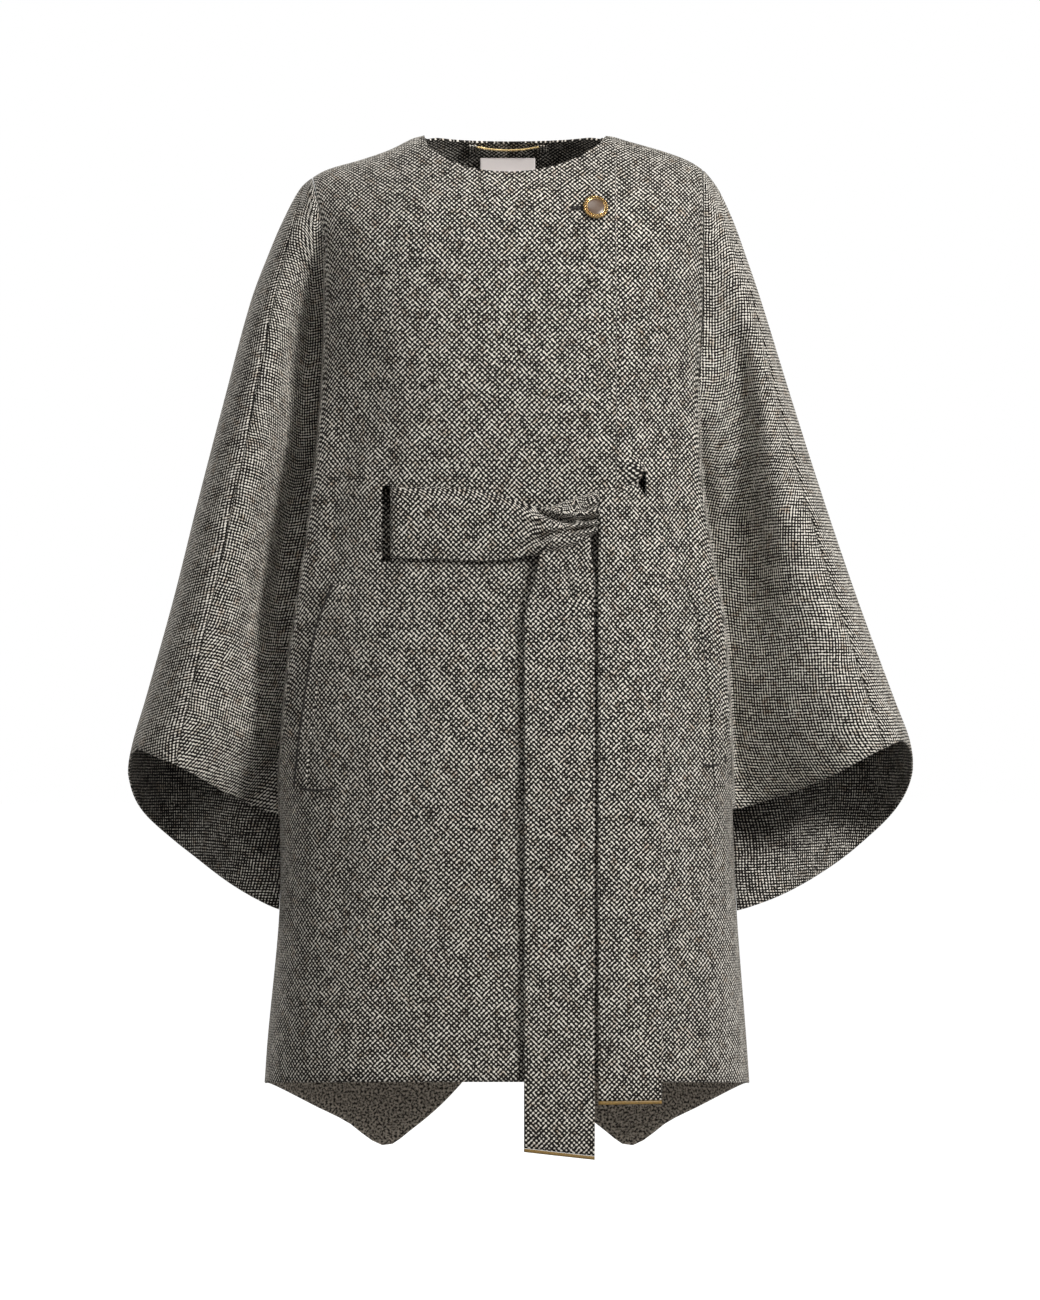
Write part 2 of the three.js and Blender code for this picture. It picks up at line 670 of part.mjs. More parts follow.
// A pocket welt: a narrow strip on the front, beside the side seam.
function pocketWelt(side) {
  const sign = side === 'right' ? -1 : 1;
  const width = 11;
  const thick = 1.5;
  const lift = (x) => (side === 'right' ? 0 : underLift(x)) + SEAM_GAP + 0.5;
  const at = (a, b, extra) => {
    const drop = THREE.MathUtils.lerp(POCKET_LINE[0].drop, POCKET_LINE.at(-1).drop, b);
    const x = sign * (read(POCKET_LINE, 'drop', side, drop) - a * width);
    return bodyLifted('front', x, drop, lift(x) + extra);
  };
  return wallBetween((a, b) => at(a, b, thick), (a, b) => at(a, b, 0), [0, 0.5, 1], [0, 0.15, 0.3, 0.45, 0.6, 0.8, 1]);
}

// Turns a piece made round +Z so that +Z runs along the front's normal, and seats it there.
function seatOnFront(mesh, x, drop, lift) {
  const seat = bodyLifted('front', x, drop, lift);
  const normal = bodyLifted('front', x, drop, lift + 1).sub(seat);
  mesh.position.copy(seat);
  mesh.quaternion.setFromUnitVectors(new THREE.Vector3(0, 0, 1), normal.normalize());
  return mesh;
}

function buttonRim() {
  const inner = BUTTON.disc + 0.3;
  const profile = [
    new THREE.Vector2(inner, 0.6),
    new THREE.Vector2(BUTTON.radius - 1.2, 0.6),
    new THREE.Vector2(BUTTON.radius, 1.8),
    new THREE.Vector2(BUTTON.radius, 3.4),
    new THREE.Vector2(BUTTON.radius - BUTTON.rim, 4.8),
    new THREE.Vector2(inner, 4.0),
    new THREE.Vector2(inner, 0.6),
  ];
  return new THREE.LatheGeometry(profile, 28).rotateX(Math.PI / 2);
}

function buttonDisc() {
  const profile = [
    new THREE.Vector2(0, 0.6),
    new THREE.Vector2(BUTTON.disc, 0.6),
    new THREE.Vector2(BUTTON.disc, 3.2),
    new THREE.Vector2(BUTTON.disc * 0.6, 3.6),
    new THREE.Vector2(0, 3.7),
  ];
  return new THREE.LatheGeometry(profile, 24).rotateX(Math.PI / 2);
}

const backInside = (x, drop, away) => bodyLifted('back', x, drop, -WALL - away);

// The hanger: a fine chain across the back neck, sewn down by a tab at each end.
function hangerChain() {
  const away = 3;
  const ends = [-1, -0.5, 0, 0.5, 1].map((t) => {
    const drop = NECK_BACK_DROP + CHAIN.drop + CHAIN.sag * (1 - t * t);
    return backInside(t * CHAIN.half, drop, away);
  });
  const section = new THREE.Shape();
  section.absarc(0, 0, CHAIN.radius, 0, 2 * Math.PI, false);
  const path = new THREE.CatmullRomCurve3(ends);
  return new THREE.ExtrudeGeometry(section, { steps: 16, extrudePath: path, curveSegments: 3, bevelEnabled: false });
}

function hangerTab(sign) {
  const middle = CHAIN.half + 5;
  const at = (a, b, away) => backInside(sign * (middle + (a - 0.5) * 9), NECK_BACK_DROP + CHAIN.drop - 0.5 + b * 7, away);
  return wallBetween((a, b) => at(a, b, 0.4), (a, b) => at(a, b, 3.6), [0, 0.5, 1], [0, 1]);
}

// The woven label inside the back neck, left plain.
function neckLabel() {
  const at = (a, b, away) => {
    const x = THREE.MathUtils.lerp(-LABEL.half, LABEL.half, a);
    return backInside(x, THREE.MathUtils.lerp(LABEL.top, LABEL.bottom, b), away);
  };
  const across = [0, 0.13, 0.3, 0.5, 0.7, 0.87, 1];
  return wallBetween((a, b) => at(a, b, LABEL.away), (a, b) => at(a, b, LABEL.away + LABEL.thick), across, [0, 0.33, 0.67, 1]);
}

const tweed = new THREE.MeshStandardMaterial({ color: 0x77716a, roughness: 0.95, metalness: 0 });
const brass = new THREE.MeshStandardMaterial({ color: 0xb08d4f, roughness: 0.3, metalness: 1 });
const enamel = new THREE.MeshStandardMaterial({ color: 0x6f5f55, roughness: 0.35, metalness: 0 });
const satin = new THREE.MeshStandardMaterial({ color: 0xcdc2be, roughness: 0.6, metalness: 0 });
const binding = new THREE.MeshStandardMaterial({ color: 0x6b4f2e, roughness: 0.6, metalness: 0 });

const coat = new THREE.Group();

function add(name, geometry, material) {
  const mesh = new THREE.Mesh(geometry, material);
  mesh.name = name;
  coat.add(mesh);
  return mesh;
}

add('front_right', cutSlit(frontRight(), SLIT_RIGHT_X, SLIT_RIGHT_TOP), tweed);
add('front_left', cutSlit(frontLeft(), SLIT_LEFT_X, SLIT_LEFT_TOP), tweed);
for (const side of ['right', 'left']) {
  add(`back_${side}`, back(side), tweed);
  add(`sleeve_front_${side}`, sleeveFront(side), tweed);
  add(`sleeve_back_${side}`, sleeveBack(side), tweed);
  add(`pocket_welt_${side}`, pocketWelt(side), tweed);
}
add('belt_waist', beltWaist(), tweed);
add('belt_stub', beltStub(), tweed);
add('belt_inner', beltInner(), tweed);
add('belt_knot', beltKnot(), tweed);
add('belt_tail_right', beltTail(TAIL_RIGHT), tweed);
add('belt_tail_left', beltTail(TAIL_LEFT), tweed);
add('belt_trim_right', tailTrim(TAIL_RIGHT), binding);
add('belt_trim_left', tailTrim(TAIL_LEFT), binding);
seatOnFront(add('button_rim', buttonRim(), brass), BUTTON.x, BUTTON.drop, overLift(BUTTON.x));
seatOnFront(add('button_disc', buttonDisc(), enamel), BUTTON.x, BUTTON.drop, overLift(BUTTON.x));
add('hanger_chain', hangerChain(), brass);
add('hanger_tab_right', hangerTab(-1), tweed);
add('hanger_tab_left', hangerTab(1), tweed);
add('neck_label', neckLabel(), satin);

export default coat;
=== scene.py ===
# The looks of a wool cape coat, filled out with no wearer: tweed panels, a tied belt, and a button of brass
# and enamel. Sizes are in millimetres, and each mesh is made in metres. Right and left are the wearer's, and
# right lies at -X. A drop is a distance below the shoulders' neck points.
import math

import bpy
from mathutils import Matrix, Vector, noise


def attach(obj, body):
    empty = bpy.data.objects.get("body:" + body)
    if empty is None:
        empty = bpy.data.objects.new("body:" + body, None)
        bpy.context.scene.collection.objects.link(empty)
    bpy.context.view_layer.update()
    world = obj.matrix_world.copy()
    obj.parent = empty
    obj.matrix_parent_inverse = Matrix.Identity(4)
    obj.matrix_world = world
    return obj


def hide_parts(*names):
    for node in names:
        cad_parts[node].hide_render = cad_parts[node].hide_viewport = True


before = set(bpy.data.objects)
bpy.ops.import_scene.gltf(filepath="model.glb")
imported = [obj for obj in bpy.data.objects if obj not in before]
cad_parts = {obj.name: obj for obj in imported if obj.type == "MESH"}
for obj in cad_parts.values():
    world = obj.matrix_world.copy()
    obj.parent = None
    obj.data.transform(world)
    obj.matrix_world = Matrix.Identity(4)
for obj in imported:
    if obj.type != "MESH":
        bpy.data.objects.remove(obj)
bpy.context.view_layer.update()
MM = 0.001
HAIR = 0.01 * MM
SIGN = {"right": -1, "left": 1}

# Cloth and seams
WALL = 2.5
SEAM_GAP = 0.3
LAYER_GAP = 0.8
EDGE_ROUND = 0.9

# Neck
NECK_HALF = {"right": 83, "left": 95}
NECK_FRONT_DROP = 43
NECK_BACK_DROP = 5
NECK_RISE = 13

# Shoulder and body
SHOULDER_TIP = 195
SHOULDER_ROLL = 95
ROLL_PART = 0.22
ROLL_ROWS = 22
# How square the body's section is.
SIDE_POWER = 2.6
DEPTH_POWER = 2.2
# How much, and from which share of its width, the front stays forward at the armhole.
EDGE_HELD = 0.35
EDGE_HELD_FROM = 0.88
SIDE_SEAM_DROP = 950
HEM_RISE = 0.06

# Front overlap: the right front laps over the left one
OVERLAP_EDGE = 107
OVERLAP_CORNER_DROP = 15
UNDERLAP_EDGE = -60
LAP_FROM = 20
LAP_TO = 95

# Wing sleeves
OVERARM_SHARE = {"right": 0.43, "left": 0.6}
OVERARM_TRIM = 0.0002
SEAM_GROOVE = 1.6
FOLD_Y = 6
NOSE_POWER = 0.85
WING_GAP = 0.4
WING_LEAST_DEPTH = 5

# Belt
BELT = 3
BELT_CLEAR = 1.2
BELT_STANDS = 3.4
BELT_SUNK = 18
STUB_SUNK = 16
SLIT_WIDTH = 10
SLIT_X = {"right": -118.5, "left": 131.5}
SLIT_TOP = {"right": 355, "left": 341}
SLIT_BOTTOM = 430
# The left slit's top is drawn shut like a leaf, and a narrow row of faces guards the slits' edges.
LEAF_HIGH = 19
LEAF_REACH = 12
EDGE_GUARD = 0.8
CUT_REACH = 20
BELT_TOP = 357
BELT_BOTTOM = 426
KNOT = {"left": 42, "right": 86.6}
TAIL_FALL = 70
TAILS = {
    "right": {"from": 16.5, "to": 84.5, "top": 423, "end": 1005, "slant": 8, "gather": (31, 80.6)},
    "left": {"from": 87.6, "to": 148, "top": 358, "end": 959, "slant": 0, "gather": (87.6, 126.5)},
}
TAIL_LIFT = 4.3
TRIM = 3.5

# Button, hanger and label
BUTTON = {"x": 86.5, "drop": 82, "disc": 8.6, "beads": 26, "bead_ring": 11.2, "rim": 11.0, "plate": 9.6}
BUTTONHOLE = {"x": 68.5, "above_button": 0.6, "from": 62.4, "step": 0.72, "stitches": 17}
CHAIN = {"half": 30, "drop": 1.5, "sag": 3, "links": 48, "link": 0.75, "wire": 0.46}
HANGER_TAB = {"wide": 9, "high": 7, "thick": 1.6}
WELT = {"width": 11, "thick": 1.5}
LABEL = {"half": 28, "top": 17.5, "bottom": 51.5, "thick": 0.8, "away": 1.5}


def table(columns, *rows):
    """A short table: a list of rows, each with its named columns."""
    return [dict(zip(columns.split(), row)) for row in rows]


# The outline's half width at each drop: the shoulder ridge, then the wing's outer fold.
OUTLINE = table(
    "drop right left",
    (0, 83, 95), (7, 98, 116), (17, 118, 151), (27, 147, 179), (37, 181, 195), (47, 198, 204),
    (57, 208, 211), (87, 224, 225), (117, 237, 236), (167, 256, 253), (267, 283, 284), (367, 309, 316),
    (467, 334, 350), (567, 362, 387), (607, 374, 402), (640, 381, 407),
)

# The body's half width at each drop, at the armhole edge and below it at the side seam.
BODY_HALF = table(
    "drop right left",
    (45, 195, 195), (78, 187, 195), (103, 182, 195), (180, 181, 194), (264, 184, 190), (340, 191, 192),
    (404, 199, 200), (484, 211, 214), (547, 219, 219), (656, 227, 224), (775, 228, 229), (907, 240, 239),
    (950, 243, 242),
)

# The body's depth in front of and behind the shoulder ridge, and the share of it left at the body's edge.
BODY_DEPTH = table(
    "drop front back",
    (0, 76, 66), (40, 86, 86), (100, 108, 103), (180, 121, 112), (300, 125, 113), (400, 127, 116),
    (520, 132, 124), (700, 143, 140), (950, 156, 160),
)
EDGE_SHARE = table(
    "drop front back",
    (45, 0.6, 0.6), (150, 0.45, 0.5), (450, 0.4, 0.5), (580, 0.3, 0.43), (655, 0.13, 0.36), (728, 0, 0.18),
    (801, 0, 0), (950, 0, 0),
)

# How far the wing's two faces stand out from its outer fold.
WING_BULGE = table(
    "drop front back",
    (45, 8, 8), (57, 25, 28), (87, 52, 56), (130, 68, 76), (250, 84, 96), (450, 96, 112), (640, 106, 128),
)

# The drop of the cuff's edge, from the armhole (share 0) to the outer fold (share 1).
CUFF = table(
    "share front_right front_left back_right back_left",
    (0, 682, 677, 777, 778), (0.15, 664, 661, 755, 760), (0.35, 638, 638, 725, 732),
    (0.55, 624, 618, 700, 702), (0.8, 616, 608, 668, 664), (1, 626, 624, 630, 628),
)

# The back hem's drop, from the vent at the centre back (share 0) to the side seam (share 1).
BACK_HEM = table(
    "share drop",
    (0, 903), (0.1, 926), (0.3, 974), (0.46, 1006), (0.545, 1021), (0.61, 1016), (0.7, 997), (0.82, 979),
    (1, 950),
)

# The pocket's slanted opening on each front.
POCKET_LINE = table(
    "drop right left",
    (452, 171, 188), (493, 187, 201), (530, 194, 207), (600, 204, 213), (652, 209, 216),
)

# Each pocket's opening shows as a dark line down the welt's outer edge, drawn as a strip of dark thread:
# painted shadow of the slit. A stitched bar crosses its lower end.
POCKET_BAR = {
    "right": {"from": -204, "to": -169, "drop": 654, "line_from": 452},
    "left": {"from": 193, "to": 209, "drop": 630, "line_from": 622},
}

# The belt's upper and lower edge on the front, from the right slit to the knot.
BELT_EDGE = table(
    "x top bottom",
    (-119, 357, 426), (-60, 357.6, 428.5), (-25, 360.6, 430), (-4, 365.5, 428.5), (22, 374.4, 425.5),
    (41, 376.3, 422.6), (57, 370.4, 417.6), (87, 360.6, 403),
)

# Where the twisted belt is creased near the knot: each crease runs along a line, at a width and a depth.
KNOT_CREASES = table(
    "x_top drop_top x_bottom drop_bottom width depth",
    (-4, 369, 22, 378, 4, 4), (22, 378, 42, 387, 3.8, 10), (42, 387, 62, 391, 3.4, 14),
    (62, 391, 88, 388, 3, 15), (-10, 427, 20, 414, 5, 4), (20, 414, 48, 402, 4, 9),
    (48, 402, 88, 396, 3, 11), (52, 377, 74, 371, 2.4, 4), (66, 383, 88, 374, 2.4, 6),
    (8, 391, 52, 395, 3.2, 4), (52, 409, 88, 403, 2.6, 5), (-2, 404, 30, 398, 4, 2.5),
)

# Folds at the top of the tails, where they leave the knot.
TAIL_CREASES = table(
    "x_top drop_top x_bottom drop_bottom width depth",
    (50, 420, 64, 470, 4, 4), (66, 412, 76, 470, 4, 3), (36, 428, 30, 480, 4, 2.5), (80, 405, 82, 500, 3, 3),
    (112, 362, 128, 382, 5, 2), (98, 400, 106, 520, 7, 2.2), (136, 372, 130, 430, 6, 2),
)

# Soft troughs in the wings: their place between armhole and fold at two drops, width and depth.
WING_TROUGHS = table(
    "side face top bottom share_top share_bottom width depth start",
    ("right", "front", 70, 640, 0.05, 0.05, 0.17, 46, 0.012),
    ("left", "front", 160, 560, 0.32, 0.04, 0.13, 26, 0.005),
    ("right", "back", 140, 700, 0.12, 0.1, 0.1, 12, 0.05),
    ("left", "back", 140, 700, 0.12, 0.1, 0.1, 12, 0.05),
)

# Where each wing hangs back from the body's front edge: steep at the edge, then rising outwards.
EDGE_VALLEYS = table(
    "side top bottom width depth",
    ("right", 230, 900, 0.13, 48),
    ("left", 240, 780, 0.18, 56),
)

# Soft troughs in the body, each along a line from its top to its bottom.
BODY_TROUGHS = table(
    "face x_top x_bottom top bottom width depth",
    ("front", -140, -152, 190, 350, 26, 8),
    ("front", 150, 142, 250, 345, 16, 4),
    ("front", -150, -176, 430, 900, 28, 5),
    ("front", 172, 186, 430, 900, 26, 5),
    ("back", -70, -104, 330, 1040, 30, 9),
    ("back", 74, 110, 350, 1040, 30, 9),
)

# Short soft folds in the front, each along a line: valleys are positive and ridges negative.
FOLDS = table(
    "x_top drop_top x_bottom drop_bottom width depth",
    (-104, 296, -121, 354, 8, 2.6), (-92, 318, -108, 355, 7, -1.2), (-160, 300, -166, 420, 14, 4),
    (98, 330, 122, 356, 5, 2.2), (104, 352, 122, 362, 4, -1.8), (106, 322, 124, 346, 5, -1.4),
    (150, 330, 140, 352, 7, 2.4), (148, 398, 139, 372, 7, -1.6), (120, 300, 128, 338, 7, 1.6),
    (22, 560, 14, 900, 18, 1.6), (-90, 470, -112, 900, 34, 3.0),
)


def read(rows, key, column, at):
    """One column of a table at a place in another column, on a smooth curve through the rows."""
    last = len(rows) - 1
    place = min(max(at, rows[0][key]), rows[last][key])
    i = 0
    while i < last - 1 and rows[i + 1][key] < place:
        i += 1

    def slope(k):
        before, after = rows[max(k - 1, 0)], rows[min(k + 1, last)]
        return (after[column] - before[column]) / (after[key] - before[key])

    start, end = rows[i], rows[i + 1]
    span = end[key] - start[key]
    t = (place - start[key]) / span
    rise = end[column] - start[column]
    lead = slope(i) * span - rise
    tail = rise - slope(i + 1) * span
    return start[column] + rise * t + t * (1 - t) * (lead * (1 - t) + tail * t)


def smooth(start, end, at):
    t = min(max((at - start) / (end - start), 0), 1)
    return t * t * (3 - 2 * t)


def lerp(start, end, t):
    return start + (end - start) * t


def side_of(x):
    return "right" if x < 0 else "left"


def face_sign(face):
    return -1 if face == "front" else 1


def hump(distance, width):
    return math.exp(-((distance / width) ** 2))


def ridge_drop(side, distance):
    """The drop of the shoulder ridge at a distance from the middle, carried on across the neck."""
    if distance < NECK_HALF[side]:
        return ((distance / NECK_HALF[side]) ** 2 - 1) * NECK_RISE
    return read(OUTLINE, side, "drop", distance)


def trough_depth(face, x, drop):
    depth = 0
    for trough in BODY_TROUGHS:
        if trough["face"] != face:
            continue
        t = (drop - trough["top"]) / (trough["bottom"] - trough["top"])
        middle = lerp(trough["x_top"], trough["x_bottom"], t)
        end = 1 if trough["bottom"] > SIDE_SEAM_DROP else smooth(1, 0.7, t)
        depth += trough["depth"] * smooth(0, 0.35, t) * end * hump(x - middle, trough["width"])
    return depth


def beside_line(line, x, drop):
    """How far along a line a place lies, from 0 to 1 on the line itself, and its distance from the line."""
    run = (line["x_bottom"] - line["x_top"], line["drop_bottom"] - line["drop_top"])
    away = (x - line["x_top"], drop - line["drop_top"])
    t = (away[0] * run[0] + away[1] * run[1]) / (run[0] ** 2 + run[1] ** 2)
    near = min(max(t, 0), 1)
    return t, math.hypot(away[0] - near * run[0], away[1] - near * run[1])


def fold_depth(x, drop):
    """How deep the short folds go at a place on the front."""
    depth = 0
    for fold in FOLDS:
        t, distance = beside_line(fold, x, drop)
        if distance < 3 * fold["width"]:
            depth += fold["depth"] * hump(distance, fold["width"]) * smooth(-0.3, 0.4, t)
    return depth


def crease_depth(creases, x, drop):
    """How deep the belt's creases go at a place on the front."""
    depth = 0
    for crease in creases:
        t, distance = beside_line(crease, x, drop)
        depth += crease["depth"] * hump(distance, crease["width"]) * smooth(-0.1, 0.5, max(t, 0))
    return depth


def softness(x, drop, seed):
    """The cloth's own slight unevenness: slow swells with smaller ones on them."""
    swell = noise.noise(Vector((x / 90, drop / 130, seed)))
    ripple = noise.noise(Vector((x / 28, drop / 45, seed + 7)))
    return 0.9 * swell + 0.35 * ripple


def body_point(face, x, drop):
    """A point of the body's outer surface, at a distance across and a drop."""
    side = side_of(x)
    half = read(BODY_HALF, "drop", side, drop)
    share = min(abs(x) / half, 1)
    if face == "front":
        share -= EDGE_HELD * max(share - EDGE_HELD_FROM, 0) * smooth(200, 330, drop) * smooth(690, 560, drop)
    edge = max(read(EDGE_SHARE, "drop", face, drop), 0) ** DEPTH_POWER
    rounding = (1 - (1 - edge) * share**SIDE_POWER) ** (1 / DEPTH_POWER)
    upright = 0.4 * smooth(1.15, 0.6, abs(x) / NECK_HALF[side]) if face == "back" else 0
    below = (drop - ridge_drop(side, abs(x))) / (SHOULDER_ROLL * (1 - upright))
    roll = math.sqrt(max(1 - (1 - below) ** 2, 0)) if below < 1 else 1
    depth = read(BODY_DEPTH, "drop", face, drop) - trough_depth(face, x, drop)
    depth += softness(x, drop, 3 if face == "front" else 17) * smooth(1, 0.9, share)
    if face == "front":
        depth -= fold_depth(x, drop)
    return Vector((x, face_sign(face) * (depth * rounding * roll + SEAM_GAP / 2), -drop))


def body_lifted(face, x, drop, lift):
    """The body's outer surface moved out along its normal."""
    step = 0.5
    across = body_point(face, x + step, drop) - body_point(face, x - step, drop)
    down = body_point(face, x, drop + step) - body_point(face, x, drop - step)
    normal = across.cross(down).normalized() * face_sign(face)
    return body_point(face, x, drop) + normal * lift


def on_front(x, drop, lift):
    return body_lifted("front", x, drop, lift)


def wing_hollow(side, face, share, drop):
    """How deep the wing's troughs go, and on the front the valley at the body's edge."""
    depth = 0
    for trough in WING_TROUGHS:
        if trough["side"] != side or trough["face"] != face:
            continue
        t = (drop - trough["top"]) / (trough["bottom"] - trough["top"])
        middle = lerp(trough["share_top"], trough["share_bottom"], t)
        fade = smooth(0, 0.3, t) * smooth(1, 0.6, t) * smooth(0, trough["start"], share)
        depth += trough["depth"] * fade * hump(share - middle, trough["width"])
    for valley in EDGE_VALLEYS:
        if valley["side"] != side or face == "back":
            continue
        t = (drop - valley["top"]) / (valley["bottom"] - valley["top"])
        fade = smooth(0, 0.3, t) * smooth(1, 0.6, t) * smooth(0, 0.006, share)
        depth += valley["depth"] * fade * math.exp(-share / valley["width"])
    return depth


def wing_point(side, turn, drop):
    """A point of a wing's outer surface. Its turn runs from the front armhole (-1) over the outer fold (0) to
    the back armhole (1)."""
    face = "front" if turn < 0 else "back"
    share = 1 - abs(turn)
    half = read(BODY_HALF, "drop", side, drop)
    armhole = body_point(face, SIGN[side] * half, drop)
    outer = max(read(OUTLINE, "drop", side, drop), half + 1)
    angle = share * math.pi / 2
    bulge = read(WING_BULGE, "drop", face, drop)
    stands = lerp(abs(armhole.y - FOLD_Y), bulge, smooth(0.05, 0.55, share))
    depth = stands * max(math.cos(angle), 0) ** NOSE_POWER
    depth -= wing_hollow(side, face, share, drop)
    if face == "front":
        groove = SEAM_GROOVE * hump(share - OVERARM_SHARE[side], 0.012) * smooth(60, 160, drop)
        depth = max(depth, WING_LEAST_DEPTH) - groove
    x = half + WING_GAP + (outer - half) * math.sin(angle) ** NOSE_POWER
    return Vector((SIGN[side] * x, FOLD_Y + face_sign(face) * depth, -drop))


def neck_drop(x, depth):
    share = min(abs(x) / NECK_HALF[side_of(x)], 1)
    return depth * math.sqrt(1 - share * share)


def top_drop(face, x):
    """A body panel's top edge: the neckline, then the shoulder seam, with the point between them rounded."""
    side = side_of(x)
    rounded = 3.4 * hump(abs(x) - NECK_HALF[side], 8)
    if abs(x) < NECK_HALF[side]:
        return neck_drop(x, NECK_FRONT_DROP if face == "front" else NECK_BACK_DROP) + rounded
    return ridge_drop(side, min(abs(x), SHOULDER_TIP)) + rounded


def front_hem_drop(x):
    return SIDE_SEAM_DROP + HEM_RISE * body_point("front", x, SIDE_SEAM_DROP).y


def row_drop(t, top, bottom):
    """A row's drop: the first rows turn over the shoulder's roll, and the rest fall evenly to the hem."""
    if t < ROLL_PART:
        return top + SHOULDER_ROLL * (1 - math.cos(t / ROLL_PART * math.pi / 2))
    return lerp(top + SHOULDER_ROLL, bottom, (t - ROLL_PART) / (1 - ROLL_PART))


def lap_share(x):
    return smooth(LAP_FROM, LAP_TO, x)


def over_lift(x):
    return (WALL + LAYER_GAP) * lap_share(x)


def under_lift(x):
    return -(WALL + LAYER_GAP) * (1 - lap_share(x))


def column_x(side, share, drop):
    half = lerp(SHOULDER_TIP, read(BODY_HALF, "drop", side, drop), smooth(0, 1, share))
    return SIGN[side] * share * half


# Sheets of cloth


def steps(start, end, count, bunch=1.0):
    """Places from start to end, closer together near the end when bunch is over 1."""
    return [lerp(start, end, 1 - (1 - i / count) ** bunch) for i in range(count + 1)]


def with_rim(grid):
    """Adds a row and a column just inside each edge, so that the edges can be rounded over."""
    def inward(edge, following):
        step = following - edge
        return edge + step * min(EDGE_ROUND / max(step.length, 1e-6), 0.5)

    def widened(line):
        return [line[0], inward(line[0], line[1]), *line[1:-1], inward(line[-1], line[-2]), line[-1]]

    rows = [widened(row) for row in grid]
    columns = [widened(list(column)) for column in zip(*rows)]
    return [list(row) for row in zip(*columns)]


def normals_of(grid, sign):
    rows, columns = len(grid), len(grid[0])

    def normal(i, j):
        across = grid[i][min(j + 1, columns - 1)] - grid[i][max(j - 1, 0)]
        down = grid[min(i + 1, rows - 1)][j] - grid[max(i - 1, 0)][j]
        return across.cross(down).normalized() * sign

    return [[normal(i, j) for j in range(columns)] for i in range(rows)]


def lengths(grid, settled, start):
    """Each point's place on the flat cloth: across from the starting column, and up from the lower edge.
    Above the settled row, where the cloth turns over the shoulder, the threads keep to that row's spacing."""
    rows, columns = len(grid), len(grid[0])
    sense = 1 if grid[-1][-1].x > grid[-1][0].x else -1
    across = [[line[0].x] for line in grid]
    up = [[0.0] * columns for _ in range(rows)]
    for i in range(rows):
        for j in range(1, columns):
            step = grid[i][j] - grid[i][j - 1]
            across[i].append(across[i][j - 1] + sense * math.hypot(step.x, step.y))
        offset = grid[i][start].x - across[i][start]
        across[i] = [value + offset for value in across[i]]
    for i in range(settled):
        across[i] = [across[settled][j] + grid[i][j].x - grid[settled][j].x for j in range(columns)]
    for j in range(columns):
        up[-1][j] = grid[-1][j].z
        for i in range(rows - 2, -1, -1):
            step = grid[i][j] - grid[i + 1][j]
            up[i][j] = up[i + 1][j] + math.hypot(step.y, step.z)
    return across, up


def area_of(grid):
    total = 0.0
    for upper, lower in zip(grid, grid[1:]):
        for a, b, c, d in zip(upper, upper[1:], lower, lower[1:]):
            total += ((b - a).cross(c - a).length + (b - d).cross(c - d).length) / 2
    return total * MM * MM


def shell(
    name, surface, across, down, sign, thickness=WALL, materials=(), inner_material=None, settled=0, start=0
):
    """A sheet of cloth with rounded edges: an outer and an inner grid, joined round the rim. The surface
    gives the outer grid's points, and the sign says which way its outer side faces."""
    grid = with_rim([[surface(a, b) for a in across] for b in down])
    normals = normals_of(grid, sign)
    rows, columns = len(grid), len(grid[0])
    along, up = lengths(grid, settled, start)
    points, map_at = [], []
    for inner in (False, True):
        for i in range(rows):
            for j in range(columns):
                rim = i in (0, rows - 1) or j in (0, columns - 1)
                depth = (0.7 if rim else 1.0) if inner else (0.3 if rim else 0.0)
                wall = thickness(i / (rows - 1)) if callable(thickness) else thickness
                points.append((grid[i][j] - normals[i][j] * depth * wall) * MM)
                map_at.append((along[i][j] * MM, up[i][j] * MM))
    under = rows * columns
    faces, inside = [], []
    for i in range(rows - 1):
        for j in range(columns - 1):
            a = i * columns + j
            b = a + 1
            c = b + columns
            d = a + columns
            faces.append((a, b, c, d))
            faces.append((a + under, d + under, c + under, b + under))
            inside += [False, True]
    edges = [(i * columns + columns - 1, (i + 1) * columns + columns - 1) for i in range(rows - 1)]
    edges += [((i + 1) * columns, i * columns) for i in range(rows - 1)]
    edges += [(j, j + 1) for j in range(columns - 1)]
    edges += [((rows - 1) * columns + j + 1, (rows - 1) * columns + j) for j in range(columns - 1)]
    for first, last in edges:
        faces.append((last, first, first + under, last + under))
        inside.append(False)
    mesh = bpy.data.meshes.new(name)
    mesh.from_pydata(points, [], faces)
    cloth_map = mesh.uv_layers.new(name="cloth")
    for loop in mesh.loops:
        cloth_map.data[loop.index].uv = map_at[loop.vertex_index]
    obj = bpy.data.objects.new(name, mesh)
    bpy.context.collection.objects.link(obj)
    for material in materials:
        mesh.materials.append(material)
    if inner_material is not None:
        for polygon, is_inside in zip(mesh.polygons, inside):
            if is_inside:
                polygon.material_index = inner_material(polygon)
    turn_outward(obj)
    mesh.shade_smooth()
    width = max(abs(line[-1] - line[0]) for line in along) * MM
    length = (max(up[0]) - min(up[-1])) * MM
    round(area_of(grid), 5)
    return obj


def turn_outward(obj):
    """Turns a closed mesh's faces out if they point in."""
    mesh = obj.data
    volume = 0.0
    for polygon in mesh.polygons:
        centre = polygon.center
        volume += centre.dot(polygon.normal) * polygon.area
    if volume < 0:
        mesh.flip_normals()


def place_piece(obj, node_name):
    """A piece rides on the coat and, where it stands for a solid, takes that one's place."""
    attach(obj, "root")
    if node_name:
        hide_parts(node_name)


def finish_cloth(obj, node_name, with_pieces=()):
    """A cloth piece is placed."""
    place_piece(obj, node_name)


# Materials


def linear(hex_colour):
    """An sRGB hex colour as the linear colour that the shader needs."""
    parts = [int(hex_colour[i : i + 2], 16) / 255 for i in (1, 3, 5)]
    return (*[c / 12.92 if c <= 0.04045 else ((c + 0.055) / 1.055) ** 2.4 for c in parts], 1.0)


